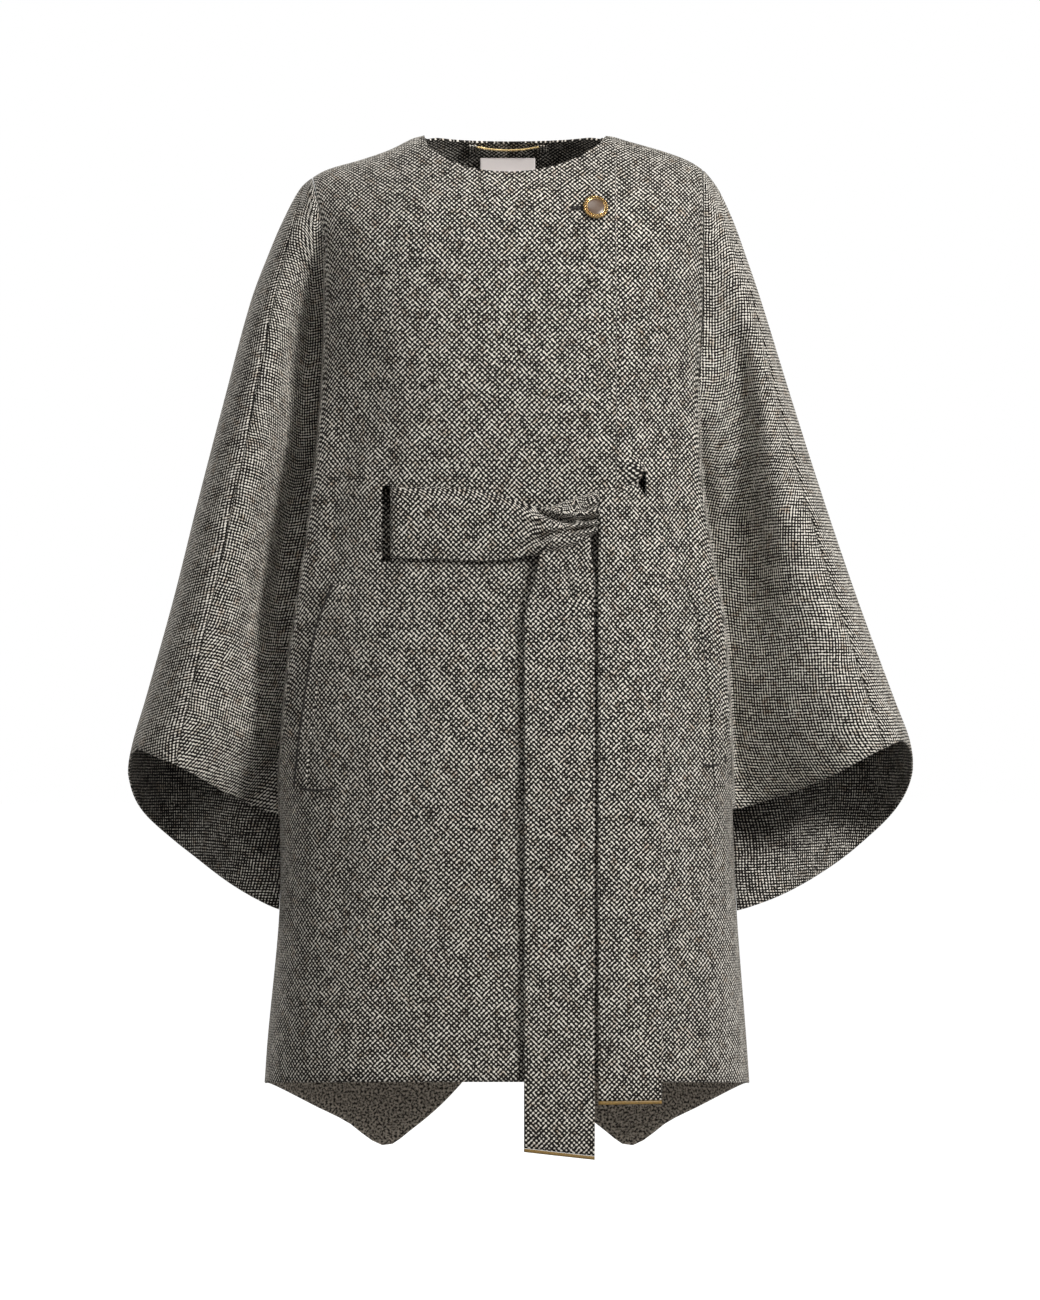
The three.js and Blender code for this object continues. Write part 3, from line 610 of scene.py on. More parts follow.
def node(material, kind, links=None, **settings):
    """Adds a node. The settings name its fields, and the links give an input its value, or the node or socket
    that it comes from."""
    made = material.node_tree.nodes.new(kind)
    for name, value in settings.items():
        setattr(made, name, value)
    for name, source in (links or {}).items():
        if isinstance(source, bpy.types.Node):
            source = source.outputs[0]
        if isinstance(source, bpy.types.NodeSocket):
            material.node_tree.links.new(source, made.inputs[name])
        else:
            made.inputs[name].default_value = source
    return made


def new_material(name):
    material = bpy.data.materials.new(name)
    material.use_nodes = True
    return material, material.node_tree.nodes["Principled BSDF"]


def finish_shader(material, shader, colour, relief, relief_strength, relief_height, **fixed):
    """Joins a colour and a relief to the shader and sets its fixed values."""
    raised = {"Height": relief, "Strength": relief_strength, "Distance": relief_height * MM}
    bump = node(material, "ShaderNodeBump", raised)
    material.node_tree.links.new(colour, shader.inputs["Base Color"])
    material.node_tree.links.new(bump.outputs[0], shader.inputs["Normal"])
    for name, value in fixed.items():
        shader.inputs[name.replace("_", " ")].default_value = value
    return material


def cloth_place(material, turn=0):
    """A place on the flat cloth in millimetres, with the threads turned by so many degrees."""
    cloth = node(material, "ShaderNodeUVMap", uv_map="cloth")
    turned = {"Vector": cloth, "Scale": (1000, 1000, 1000), "Rotation": (0, 0, math.radians(turn))}
    return node(material, "ShaderNodeMapping", turned)


def tweed(name, turn, pitch, contrast=0.6, shade=0.75, slub=4.2):
    """Hopsack wool tweed: black and cream threads cross in a small uneven check, matt, with a soft nap."""
    material, shader = new_material(name)
    flat = cloth_place(material, turn)
    # The threads wander: slowly over a hand's width, and thread by thread.
    moved = flat
    for size, reach in ((42, 3.15), (7, 0.765)):
        wander = node(material, "ShaderNodeTexNoise", {"Vector": flat, "Scale": 1 / size, "Detail": 1.0})
        both_ways = {0: wander.outputs["Color"], 1: (0.5, 0.5, 0.5)}
        centred = node(material, "ShaderNodeVectorMath", both_ways, operation="SUBTRACT")
        shift = node(material, "ShaderNodeVectorMath", {0: centred, "Scale": reach}, operation="SCALE")
        moved = node(material, "ShaderNodeVectorMath", {0: moved, 1: shift}, operation="ADD")
    place = node(material, "ShaderNodeSeparateXYZ", {0: moved})
    waves = []
    for along in place.outputs[:2]:
        phase = node(material, "ShaderNodeMath", {0: along, 1: 2 * math.pi / pitch}, operation="MULTIPLY")
        waves.append(node(material, "ShaderNodeMath", {0: phase}, operation="SINE"))
    warp, weft = waves
    # In patches one set of threads stands out, so that the checks run together into short dashes.
    lean = node(material, "ShaderNodeTexNoise", {"Vector": flat, "Scale": 1 / 9, "Detail": 1.0})
    lean = node(material, "ShaderNodeMath", {0: lean, 1: 1.8, 2: -0.9}, operation="MULTIPLY_ADD")
    stronger = node(material, "ShaderNodeMath", {0: lean, 1: 1.0}, operation="ADD")
    check = node(material, "ShaderNodeMath", {0: warp, 1: stronger, 2: weft}, operation="MULTIPLY_ADD")
    weaker = node(material, "ShaderNodeMath", {0: weft, 1: lean}, operation="MULTIPLY")
    check = node(material, "ShaderNodeMath", {0: check, 1: weaker}, operation="SUBTRACT")
    # Slubs a thread wide, and paler and darker patches a fingertip wide.
    for source, size, detail, reach in ((moved, 2.6, 1.0, slub), (flat, 16, 2.0, 1.6)):
        uneven = {"Vector": source, "Scale": 1 / size, "Detail": detail}
        uneven = {0: node(material, "ShaderNodeTexNoise", uneven), 1: reach, 2: -reach / 2}
        uneven = node(material, "ShaderNodeMath", uneven, operation="MULTIPLY_ADD")
        check = node(material, "ShaderNodeMath", {0: check, 1: uneven}, operation="ADD")
    shown = {"Value": check, "From Min": shade - contrast, "From Max": shade + contrast}
    mask = node(material, "ShaderNodeMapRange", shown, interpolation_type="SMOOTHSTEP")
    tint = node(material, "ShaderNodeTexNoise", {"Vector": flat, "Scale": 1 / 11, "Detail": 2.0})
    tinted = {"Value": tint, "From Min": 0.5, "From Max": 0.78, "To Max": 0.75}
    tinted = node(material, "ShaderNodeMapRange", tinted, interpolation_type="SMOOTHSTEP")
    # Cream threads with tan ones among them, over black ones.
    pale = {"Factor": tinted, 6: linear("#dcd6cb"), 7: linear("#a58f78")}
    pale = node(material, "ShaderNodeMix", pale, data_type="RGBA")
    both = {"Factor": mask, 6: linear("#141210"), 7: pale.outputs[2]}
    both = node(material, "ShaderNodeMix", both, data_type="RGBA")
    return finish_shader(
        material, shader, both.outputs[2], check, relief_strength=0.35, relief_height=0.4,
        Roughness=0.92, Specular_IOR_Level=0.15,
        Sheen_Weight=0.18, Sheen_Roughness=0.5, Sheen_Tint=linear("#e9e2d6"),
    )


def felt():
    """Felted wool, the coat's plain reverse: dark taupe fibres flecked with paler ones, quite matt."""
    material, shader = new_material("felted wool reverse")
    fibres = {"Vector": cloth_place(material), "Scale": 1 / 2.4, "Detail": 3.0}
    fibres = node(material, "ShaderNodeTexNoise", fibres)
    parted = {"Value": fibres, "From Min": 0.36, "From Max": 0.66}
    parted = node(material, "ShaderNodeMapRange", parted, interpolation_type="SMOOTHSTEP")
    mixed = {"Factor": parted, 6: linear("#2a2521"), 7: linear("#d2c6b6")}
    mixed = node(material, "ShaderNodeMix", mixed, data_type="RGBA")
    return finish_shader(
        material, shader, mixed.outputs[2], fibres, relief_strength=0.5, relief_height=0.4,
        Roughness=0.95, Specular_IOR_Level=0.1, Sheen_Weight=0.2,
    )


def plain(name, colour, other, grain, grain_mm, **fixed):
    """A finish in one colour that drifts a little towards another, with a fine grain. It is used for the
    metal, enamel, thread, binding and satin, and the comment above each says what it gives the eye."""
    material, shader = new_material(name)
    place = node(material, "ShaderNodeTexCoord")
    texture = {"Vector": place.outputs["Object"], "Scale": 1000 / grain_mm, "Detail": 2.0}
    texture = node(material, "ShaderNodeTexNoise", texture)
    mixed = {"Factor": texture, 6: linear(colour), 7: linear(other)}
    mixed = node(material, "ShaderNodeMix", mixed, data_type="RGBA")
    return finish_shader(material, shader, mixed.outputs[2], texture, grain, 0.2, **fixed)


# On the body and the belt the checks stand on their corners, in strong black and cream.
BODY_TWEED = tweed("wool tweed on the body", turn=45, pitch=3.5)
BELT_TWEED = tweed("wool tweed on the belt", turn=45, pitch=3.5)
# On the wings the checks lie square, and they look smaller and softer. They are also drawn a little paler:
# painted light, making up for light that the wings' turned faces miss from the lamps.
WING_TWEED = tweed("wool tweed on the wings", turn=0, pitch=3.0, contrast=0.5, shade=0.55, slub=3.6)
WING_TWEED_TILTED = tweed("wool tweed on the right wing", turn=13, pitch=3.0, contrast=0.5, shade=0.6, slub=3.6)
# The inside of the wings is the same tweed drawn darker, with more of the black threads: painted shade for the
# hollow inside each wing.
WING_TWEED_SHADED_INSIDE = tweed("wool tweed inside the wings, darkened as painted shade", turn=0, pitch=3.0, shade=0.95)
FELT = felt()
# Polished brass shows bright lines on its beads and goes dark between them.
BRASS = plain("polished brass", "#e3c894", "#a3814e", grain=0.1, grain_mm=0.6, Roughness=0.22, Metallic=1.0)
# Gilt chain: pale gold, drawn paler still and less metallic as a painted highlight for the light that its many
# small rounds catch all over, so that it reads paler than the rim.
GILT = plain("gilt chain", "#f3dca6", "#e2c07c", grain=0.1, grain_mm=0.6, Roughness=0.3, Metallic=0.6)
# Enamel fired smooth: an even taupe with one soft light on it.
ENAMEL = plain("taupe enamel", "#54402f", "#5e4a3a", grain=0.02, grain_mm=2.0, Roughness=0.32)
# Polyester thread: dark, with the faint gleam of a twist.
THREAD = plain("dark buttonhole thread", "#191614", "#2b2622", grain=0.4, grain_mm=0.6, Roughness=0.7)
# Woven binding: brown with gold lurex showing through.
BINDING = plain("brown and gold binding", "#33271a", "#a8853f", grain=0.5, grain_mm=1.6, Roughness=0.45)
# Satin ribbon: bright, smooth and bare.
SATIN = plain("bare satin label", "#efe7e3", "#e6dcd8", grain=0.15, grain_mm=0.5, Roughness=0.45)


# Panels

FELT_FROM = -0.5


def reverse_index(polygon):
    """The inside shows tweed high up and the plain reverse below the waist."""
    return 0 if polygon.center.z > FELT_FROM else 1


def body_panel(name, surface, across, sign, start=0):
    """A big panel of the body, whose upper rows turn over the shoulder."""
    cloth = (BODY_TWEED, FELT)
    return shell(name, surface, across, ROWS, sign, WALL, cloth, reverse_index, ROLL_ROWS + 1, start)


def front_surface(panel):
    """A front's outer surface. The right front lies over the left one where they overlap."""
    def surface(a, b):
        side = side_of(a)
        share = abs(a) / SHOULDER_TIP
        in_lap = a > 0 if panel == "right" else a <= OVERLAP_EDGE
        corner = OVERLAP_CORNER_DROP if panel == "right" and a > 0 else 0
        top = max(top_drop("front", a), corner)
        hem_x = a if in_lap else column_x(side, share, SIDE_SEAM_DROP)
        drop = row_drop(b, top, front_hem_drop(hem_x))
        x = a if in_lap else column_x(side, share, drop)
        lift = over_lift(x) if panel == "right" else under_lift(x)
        return body_point("front", x, drop) if lift == 0 else on_front(x, drop, lift)

    return surface


def back_surface(side):
    def surface(a, b):
        share = max(abs(a) / SHOULDER_TIP, 1e-6)
        drop = row_drop(b, top_drop("back", a), read(BACK_HEM, "share", "drop", share))
        x = column_x(side, share, drop)
        return body_point("back", x, drop)

    return surface


ROWS = [ROLL_PART * i / ROLL_ROWS for i in range(ROLL_ROWS)] + steps(ROLL_PART, 1, 84)
# Columns of one half, from the centre out: the steps shrink where the neckline and the side turn quickly.
HALF_COLUMNS = (
    [0, 0.06, 0.12, 0.18, 0.24, 0.29, 0.33, 0.36, 0.385, 0.405, 0.42]
    + [0.44, 0.46, 0.475, 0.487, 0.5, 0.53, 0.57, 0.61, 0.65, 0.69, 0.73, 0.77, 0.81, 0.845, 0.88, 0.91]
    + [0.935, 0.955, 0.97, 0.982, 0.991, 0.997, 1]
)
# Columns of the overlap, on both fronts, and of the left front's part under it.
LAP_COLUMNS = [0, 10, 20, 30, 40, 50, 60, 70, 78, 85, 90, 94, 98, 102, OVERLAP_EDGE]
TUCKED_COLUMNS = [UNDERLAP_EDGE, -45, -30, -15]


def half_columns(side):
    """The half's columns with the neck point among them."""
    neck = NECK_HALF[side] / SHOULDER_TIP
    near = [share for share in HALF_COLUMNS if abs(share - neck) > 0.016]
    return sorted(near + [neck - 0.011, neck, neck + 0.011])


def front_right():
    outer = [-share * SHOULDER_TIP for share in reversed(half_columns("right")[1:])]
    obj = body_panel("tweed_front_right", front_surface("right"), outer + LAP_COLUMNS, -1, -1)
    cut_slit(obj, "right")
    finish_cloth(obj, "front_right")


def front_left():
    outer = [share * SHOULDER_TIP for share in half_columns("left")]
    across = TUCKED_COLUMNS + LAP_COLUMNS + [x for x in outer if x > OVERLAP_EDGE + 2]
    obj = body_panel("tweed_front_left", front_surface("left"), across, -1)
    cut_slit(obj, "left")
    finish_cloth(obj, "front_left")


def back(side):
    across = [SIGN[side] * share * SHOULDER_TIP for share in half_columns(side)]
    obj = body_panel(f"tweed_back_{side}", back_surface(side), across, SIGN[side])
    finish_cloth(obj, f"back_{side}", [hanger_tab(side)])


def cut_slit(obj, side):
    """Cuts the narrow upright slit that the belt runs through."""
    low_x, high_x = (SLIT_X[side] - SLIT_WIDTH / 2) * MM, (SLIT_X[side] + SLIT_WIDTH / 2) * MM
    low_z, high_z = -SLIT_BOTTOM * MM, -SLIT_TOP[side] * MM
    slit = (low_x, high_x, low_z, high_z)
    bpy.ops.object.select_all(action="DESELECT")
    bpy.context.view_layer.objects.active = obj
    obj.select_set(True)
    bpy.ops.object.mode_set(mode="EDIT")
    guard = EDGE_GUARD * MM
    levels = [low_z - guard, low_z, high_z, high_z + guard]
    levels += [high_z - LEAF_HIGH * MM * i / 6 for i in range(1, 7)]
    cuts = [((x, 0, 0), (1, 0, 0)) for x in (low_x - guard, low_x, high_x, high_x + guard)]
    cuts += [((0, 0, z), (0, 0, 1)) for z in levels]
    for place, normal in cuts:
        select_near(obj, slit, CUT_REACH * MM)
        bpy.ops.mesh.bisect(plane_co=place, plane_no=normal)
    select_near(obj, slit, -HAIR)
    bpy.ops.mesh.delete(type="FACE")
    select_open_edges()
    bpy.ops.mesh.bridge_edge_loops()
    bpy.ops.object.mode_set(mode="OBJECT")
    obj.select_set(False)
    if side == "left":
        pinch_slit(obj, low_x, high_x, high_z)


def pinch_slit(obj, low_x, high_x, high_z):
    """Draws the top of the slit shut towards its outer side, and the cloth beside it along."""
    for vertex in obj.data.vertices:
        x, y, z = vertex.co
        fallen = (high_z - z) / (LEAF_HIGH * MM)
        beside = smooth(low_x - LEAF_REACH * MM, low_x, x)
        if y < 0 and x < high_x and fallen < 1:
            opened = smooth(0, 1, fallen) ** 0.6 if fallen > 0 else smooth(0, 0.7, -fallen)
            vertex.co.x += 0.94 * (1 - opened) * min(high_x - x, high_x - low_x) * beside


def select_near(obj, rectangle, reach):
    """Selects the faces of the front whose centres lie within a reach of an upright rectangle."""
    low_x, high_x, low_z, high_z = rectangle
    bpy.ops.mesh.select_all(action="DESELECT")
    bpy.ops.object.mode_set(mode="OBJECT")
    for polygon in obj.data.polygons:
        x, y, z = polygon.center
        inside = low_x - reach < x < high_x + reach and low_z - reach < z < high_z + reach
        polygon.select = inside and y < 0
    bpy.ops.object.mode_set(mode="EDIT")


def select_open_edges():
    bpy.ops.mesh.select_all(action="DESELECT")
    bpy.ops.mesh.select_mode(type="EDGE")
    bpy.ops.mesh.select_non_manifold(
        extend=False, use_wire=False, use_boundary=True,
        use_multi_face=False, use_non_contiguous=False, use_verts=False,
    )


def wing_surface(side):
    top = ridge_drop(side, SHOULDER_TIP) + 0.8

    def surface(turn, t):
        face = "front" if turn < 0 else "back"
        cuff = read(CUFF, "share", f"{face}_{side}", 1 - abs(turn))
        return wing_point(side, turn, lerp(top, cuff, t))

    return surface


WING_ROWS = [0.16 * (i / 16) ** 1.8 for i in range(16)] + steps(0.16, 1, 70)
# Columns of a wing's front piece, from the armhole to its seam: closest where the cloth dips beside the body.
WING_COLUMNS = (
    [0, 0.008, 0.016, 0.024, 0.034, 0.05, 0.075, 0.11, 0.15, 0.2, 0.25, 0.3]
    + [0.36, 0.42, 0.48, 0.54, 0.6, 0.66, 0.72, 0.78, 0.84, 0.9, 0.95, 0.98, 1]
)
WING_OUTSIDE = {"right": WING_TWEED_TILTED, "left": WING_TWEED}


def wing_thickness(share):
    """The wings' cloth thins out towards the shoulder, where it is sewn in."""
    return WALL * min(1, 0.3 + share * 9)


def inside_index(polygon):
    """The whole inside shows the second cloth, the tweed drawn darker as painted shade."""
    return 1


def sleeve_piece(face, side, turns):
    name = f"sleeve_{face}_{side}"
    # The inside takes the darker tweed: painted shade in the wing's hollow.
    cloth = (WING_OUTSIDE[side], WING_TWEED_SHADED_INSIDE)
    surface = wing_surface(side)
    obj = shell(f"tweed_{name}", surface, turns, WING_ROWS, -SIGN[side], wing_thickness, cloth, inside_index)
    finish_cloth(obj, name)


def sleeve(side):
    """A wing's front and back piece, which meet at the overarm seam in front of the outer fold."""
    seam = -(1 - OVERARM_SHARE[side])
    front_end, back_start = seam - OVERARM_TRIM, seam + OVERARM_TRIM
    sleeve_piece("front", side, [-1 + t * (front_end + 1) for t in WING_COLUMNS])
    before_fold = [back_start * (1 - i / 16) for i in range(16)]
    sleeve_piece("back", side, before_fold + [i / 34 for i in range(34)] + [0.985, 1])


# Belt


def belt_sheet(name, surface, across, down, sign=-1):
    return shell(name, surface, across, down, sign, BELT, (BELT_TWEED,))


def belt_drop(x, b):
    return lerp(read(BELT_EDGE, "x", "top", x), read(BELT_EDGE, "x", "bottom", x), b)


def belt_swell(x, b):
    """How the belt fills out as it nears the knot."""
    rounded = max(1 - abs(2 * b - 1) ** 3, 0) ** 0.5
    return 15 * smooth(0, 52, x) * rounded * smooth(112, 84, x) + 2 * smooth(-40, 20, x)


def belt_face(x, b, more):
    """The belt's outer surface across the front, from inside the right slit to the knot."""
    drop = belt_drop(x, b)
    dip = lerp(BELT_STANDS + BELT, -BELT_SUNK, smooth(-113, -118, x)) + over_lift(x)
    if x < -128:
        dip = lerp(-BELT_SUNK, -(WALL + BELT_CLEAR), smooth(-128, -146, x))
    turned = 1.6 * (hump(b, 0.1) + hump(b - 1, 0.1)) * smooth(-112, -90, x)
    lift = dip + belt_swell(x, b) - crease_depth(KNOT_CREASES, x, drop) * smooth(-8, 20, x) - turned + more
    return on_front(x, drop, max(lift, over_lift(x) + BELT + 0.6) if x > -104 else lift)


def belt_waist():
    across = [-150, -145, -140, -135, -131, -129, *range(-127, -116), -115.5, -114, -110]
    across += steps(-104, 46, 90)
    obj = belt_sheet("belt_across_front", lambda x, b: belt_face(x, b, 0), across, steps(0, 1, 40))
    finish_cloth(obj, "belt_waist")


def belt_stub():
    """The short stretch between the tails and the left slit, and on through the slit."""
    across = [110, 114, 118, 122, 124, *range(126, 137), 138, 141, 146, 153, 160]

    def surface(x, b):
        lift = lerp(BELT_CLEAR + BELT, -STUB_SUNK, smooth(-4, 4, x - SLIT_X["left"]))
        if x > 138:
            lift = lerp(-STUB_SUNK, -(WALL + BELT_CLEAR), smooth(138, 156, x))
        return on_front(x, lerp(BELT_TOP, BELT_BOTTOM, b), lift)

    obj = belt_sheet("belt_at_left_slit", surface, across, steps(0, 1, 12))
    finish_cloth(obj, "belt_stub")


def on_curve(points, t):
    """A place on a smooth curve through the points, with each span taken in turn."""
    spans = len(points) - 1
    i = min(int(t * spans), spans - 1)
    u = t * spans - i
    p0, p1, p2, p3 = (points[min(max(k, 0), spans)] for k in (i - 1, i, i + 1, i + 2))
    bend = (2 * p0 - 5 * p1 + 4 * p2 - p3) * u * u
    turn = (3 * p1 - p0 - 3 * p2 + p3) * u**3
    return 0.5 * (2 * p1 + (p2 - p0) * u + bend + turn)


def belt_inner():
    """The belt's run inside the coat, from the right slit round the back to the left slit."""
    lift = -(WALL + BELT_CLEAR)
    across_back = (-164, -130, -90, -45, 0, 45, 90, 130, 164)

    def surface(t, b):
        drop = lerp(BELT_TOP, BELT_BOTTOM, b)
        half_right = read(BODY_HALF, "drop", "right", drop) - 8
        half_left = read(BODY_HALF, "drop", "left", drop) - 8
        points = [on_front(-150.5, drop, lift), on_front(-162, drop, lift - 0.5)]
        points += [Vector((-half_right + 3, -45, -drop)), Vector((-half_right, 10, -drop))]
        points += [body_lifted("back", x, drop, lift - 1) for x in across_back]
        points += [Vector((half_left, 10, -drop)), Vector((half_left - 2, -45, -drop))]
        points += [on_front(170, drop, lift - 0.5), on_front(160.5, drop, lift)]
        return on_curve(points, t)

    obj = belt_sheet("belt_inside_waist", surface, steps(0, 1, 110), steps(0, 1, 8), 1)
    finish_cloth(obj, "belt_inner")


def belt_knot():
    """The wrap of the knot, a little above the stretch that runs under it."""
    across = steps(KNOT["left"], KNOT["right"], 44)
    obj = belt_sheet("belt_knot_wrap", lambda x, b: belt_face(x, b, 0.4), across, steps(0, 1, 60))
    finish_cloth(obj, "belt_knot")


def tail_lift(x):
    return max(over_lift(x) + BELT_CLEAR, TAIL_LIFT) + BELT


def tail_point(name, a, drop):
    """A point of a tail's outer surface: gathered at the knot, then spread out flat over the front."""
    tail = TAILS[name]
    fall = smooth(TAILS["right"]["top"], TAILS["right"]["top"] + TAIL_FALL, drop)
    spread = 1 - (1 - min(max(drop - tail["top"], 0) / 50, 1)) ** 2
    start, end = tail["gather"]
    x = lerp(lerp(start, tail["from"], fall), lerp(end, tail["to"], spread), a)
    wave = 1.2 * math.sin((drop - tail["top"]) / 95 + (0 if name == "right" else 2)) * spread
    lift = tail_lift(x) + max(wave, 0) + softness(x * 1.5, drop, 31 if name == "right" else 43)
    lift += 1 + 5 * (1 - fall) if name == "right" else 3 + 5 * hump(a, 0.35) * smooth(640, 380, drop)
    lift -= crease_depth(TAIL_CREASES, x, drop)
    return on_front(x, drop, max(lift, tail_lift(x) - 1.2))


def tail_top(name, a):
    """A tail's upper edge: the right one starts close under the knot's slanting lower edge."""
    if name == "left":
        return TAILS["left"]["top"]
    return read(BELT_EDGE, "x", "bottom", lerp(*TAILS["right"]["gather"], a)) - 3


def belt_tail(name):
    tail = TAILS[name]

    def surface(a, b):
        return tail_point(name, a, lerp(tail_top(name, a), tail["end"] + tail["slant"] * a, b))

    def trim(a, b):
        return tail_point(name, a, tail["end"] + tail["slant"] * a + SEAM_GAP + b * TRIM)

    edge = shell(f"belt_end_binding_{name}", trim, steps(0, 1, 16), steps(0, 1, 3), -1, BELT, (BINDING,))
    place_piece(edge, f"belt_trim_{name}")
    down = [0.3 * t / 70 for t in range(70)] + steps(0.3, 1, 60)
    obj = belt_sheet(f"belt_tail_{name}_cloth", surface, steps(0, 1, 24), down)
    finish_cloth(obj, f"belt_tail_{name}", [edge])


# Pockets, button, hanger and label


def pocket_welt(side):
    thick = WELT["thick"]

    def surface(a, b):
        drop = lerp(POCKET_LINE[0]["drop"], POCKET_LINE[-1]["drop"], b)
        x = SIGN[side] * (read(POCKET_LINE, "drop", side, drop) - a * WELT["width"])
        lift = thick + 0.3 + (0.4 + 0.5 * hump(a, 0.3) if side == "right" else under_lift(x))
        return on_front(x, drop, lift)

    name = f"pocket_welt_{side}_cloth"
    obj = shell(name, surface, steps(0, 1, 4), steps(0, 1, 40), SIGN[side], thick, (BODY_TWEED,))
    finish_cloth(obj, f"pocket_welt_{side}", pocket_bar(side))


def pocket_bar(side):
    """Two strips in dark thread: the bar of stitches across a pocket's lower end, and the line down its
    opening, which is painted shadow of the slit.
    """
    bar = POCKET_BAR[side]
    ground = 3.1 if side == "right" else under_lift(200) + 2.3

    def across(a, b):
        x = lerp(bar["from"], bar["to"], a)
        drop = bar["drop"] + 1.5 * math.sin(math.pi * a) + (b - 0.5) * 2.2
        return on_front(x, drop, ground)

    # The strip down the opening is painted shadow: the slit's shade drawn in dark thread.
    def down(a, b):
        drop = lerp(bar["line_from"], bar["drop"], b)
        x = SIGN[side] * (read(POCKET_LINE, "drop", side, drop) + 0.4) + (a - 0.5) * 1.8
        return on_front(x, drop, ground)

    thread = (THREAD,)
    strips = [
        shell(f"pocket_bar_{side}_stitches", across, steps(0, 1, 14), steps(0, 1, 2), -1, 1.2, thread),
        shell(f"pocket_opening_shadow_{side}_stitches", down, steps(0, 1, 2), steps(0, 1, 40), -1, 1.2, thread),
    ]
    for strip in strips:
        place_piece(strip, None)
    return strips


def inside_back(x, drop, away):
    return body_lifted("back", x, drop, -WALL - away)


def neck_label():
    """A bare satin label. It hangs from its upper edge, straighter than the cloth behind it."""
    top = LABEL["top"]
    away = LABEL["away"] + LABEL["thick"]

    def surface(a, b):
        x = lerp(-LABEL["half"], LABEL["half"], a)
        point = inside_back(x, lerp(top, LABEL["bottom"], b), away)
        point.y = lerp(point.y, inside_back(x, top, away).y, 0.8)
        return point

    obj = shell("satin_neck_label", surface, steps(0, 1, 20), steps(0, 1, 10), -1, LABEL["thick"], (SATIN,))
    finish_cloth(obj, "neck_label")


def hanger_tab(side):
    middle = CHAIN["half"] + 5
    top = NECK_BACK_DROP + CHAIN["drop"] - 0.5

    def surface(a, b):
        x = SIGN[side] * (middle + (a - 0.5) * HANGER_TAB["wide"])
        return inside_back(x, top + b * HANGER_TAB["high"], 2.4)

    grid = steps(0, 1, 5)
    thick = HANGER_TAB["thick"]
    obj = shell(f"hanger_tab_{side}_cloth", surface, grid, grid, -SIGN[side], thick, (WING_TWEED,))
    place_piece(obj, f"hanger_tab_{side}")
    return obj


for build in (front_right, front_left, belt_waist, belt_stub, belt_inner, belt_knot, neck_label):
    build()
for wearer_side in ("right", "left"):
    back(wearer_side)
    sleeve(wearer_side)
    belt_tail(wearer_side)
    pocket_welt(wearer_side)


# Button, buttonhole and chain, in metal, enamel and thread


def seat_on_front(x, drop, lift):
    """A place on the front whose own +Z runs out along the cloth's normal."""
    seat = on_front(x, drop, lift)
    normal = (on_front(x, drop, lift + 1) - seat).normalized()
    return Matrix.Translation(seat * MM) @ Vector((0, 0, 1)).rotation_difference(normal).to_matrix().to_4x4()


def added(kind, matrix, size=(1, 1, 1), **settings):
    """Adds a primitive at a place and leaves it selected."""
    place, turn, _ = matrix.decompose()
    bpy.ops.object.select_all(action="DESELECT")
    getattr(bpy.ops.mesh, f"primitive_{kind}_add")(location=place, rotation=turn.to_euler(), **settings)
    made = bpy.context.object
    made.scale = size
    bpy.ops.object.transform_apply(location=True, rotation=True, scale=True)
    made.data.shade_smooth()
    return made


def joined(parts, name, material):
    bpy.ops.object.select_all(action="DESELECT")
    for part in parts:
        part.select_set(True)
    bpy.context.view_layer.objects.active = parts[0]
    bpy.ops.object.join()
    result = bpy.context.object
    result.name = name
    result.data.materials.clear()
    result.data.materials.append(material)
    return result


def button():
    """A brass rope rim of slanted beads round a taupe enamel disc."""
    seat = seat_on_front(BUTTON["x"], BUTTON["drop"], over_lift(BUTTON["x"]))
    ring = {"major_segments": 64, "minor_segments": 12}
    plate = BUTTON["plate"] * MM

    def up(height):
        return seat @ Matrix.Translation((0, 0, height * MM))

    parts = [
        added("torus", up(2.0), major_radius=BUTTON["rim"] * MM, minor_radius=1.4 * MM, **ring),
        added("torus", up(3.5), major_radius=9.0 * MM, minor_radius=0.6 * MM, **ring),
        added("cylinder", up(1.9), vertices=64, radius=plate, depth=1.8 * MM),
    ]
    slanted = Matrix.Translation((BUTTON["bead_ring"] * MM, 0, 0)) @ Matrix.Rotation(math.radians(40), 4, "Z")
    for i in range(BUTTON["beads"]):
        turn = Matrix.Rotation(2 * math.pi * i / BUTTON["beads"], 4, "Z")
        bead = up(3.2) @ turn @ slanted
        parts.append(added("uv_sphere", bead, (2.2, 0.95, 1.5), segments=14, ring_count=8, radius=MM))
    place_piece(joined(parts, "button_rope_rim", BRASS), "button_rim")
    domed = (BUTTON["disc"], BUTTON["disc"], 1.1)
    disc = added("uv_sphere", up(3.1), domed, segments=48, ring_count=24, radius=MM)
    place_piece(joined([disc], "button_enamel_disc", ENAMEL), "button_disc")


def buttonhole():
    """Close dark stitches along both lips of the buttonhole, which shows beside the button, and between them a
    flat dark oval in the thread's colour: painted shadow in the slot.
    """
    middle = BUTTONHOLE["x"]
    drop = BUTTON["drop"] - BUTTONHOLE["above_button"]
    slot = seat_on_front(middle, drop, over_lift(middle) + 0.1)
    # The flat dark oval between the lips is painted shadow of the open slot.
    stitches = [added("uv_sphere", slot, (6.6, 1.0, 0.6), segments=24, ring_count=10, radius=MM)]
    for i in range(BUTTONHOLE["stitches"]):
        x = BUTTONHOLE["from"] + i * BUTTONHOLE["step"]
        for lip in (-1, 1):
            place = seat_on_front(x, drop + lip, over_lift(x) + 0.1)
            stitches.append(added("uv_sphere", place, (0.34, 1.3, 0.75), segments=8, ring_count=6, radius=MM))
    place_piece(joined(stitches, "buttonhole_stitches_and_slot_shadow", THREAD), None)


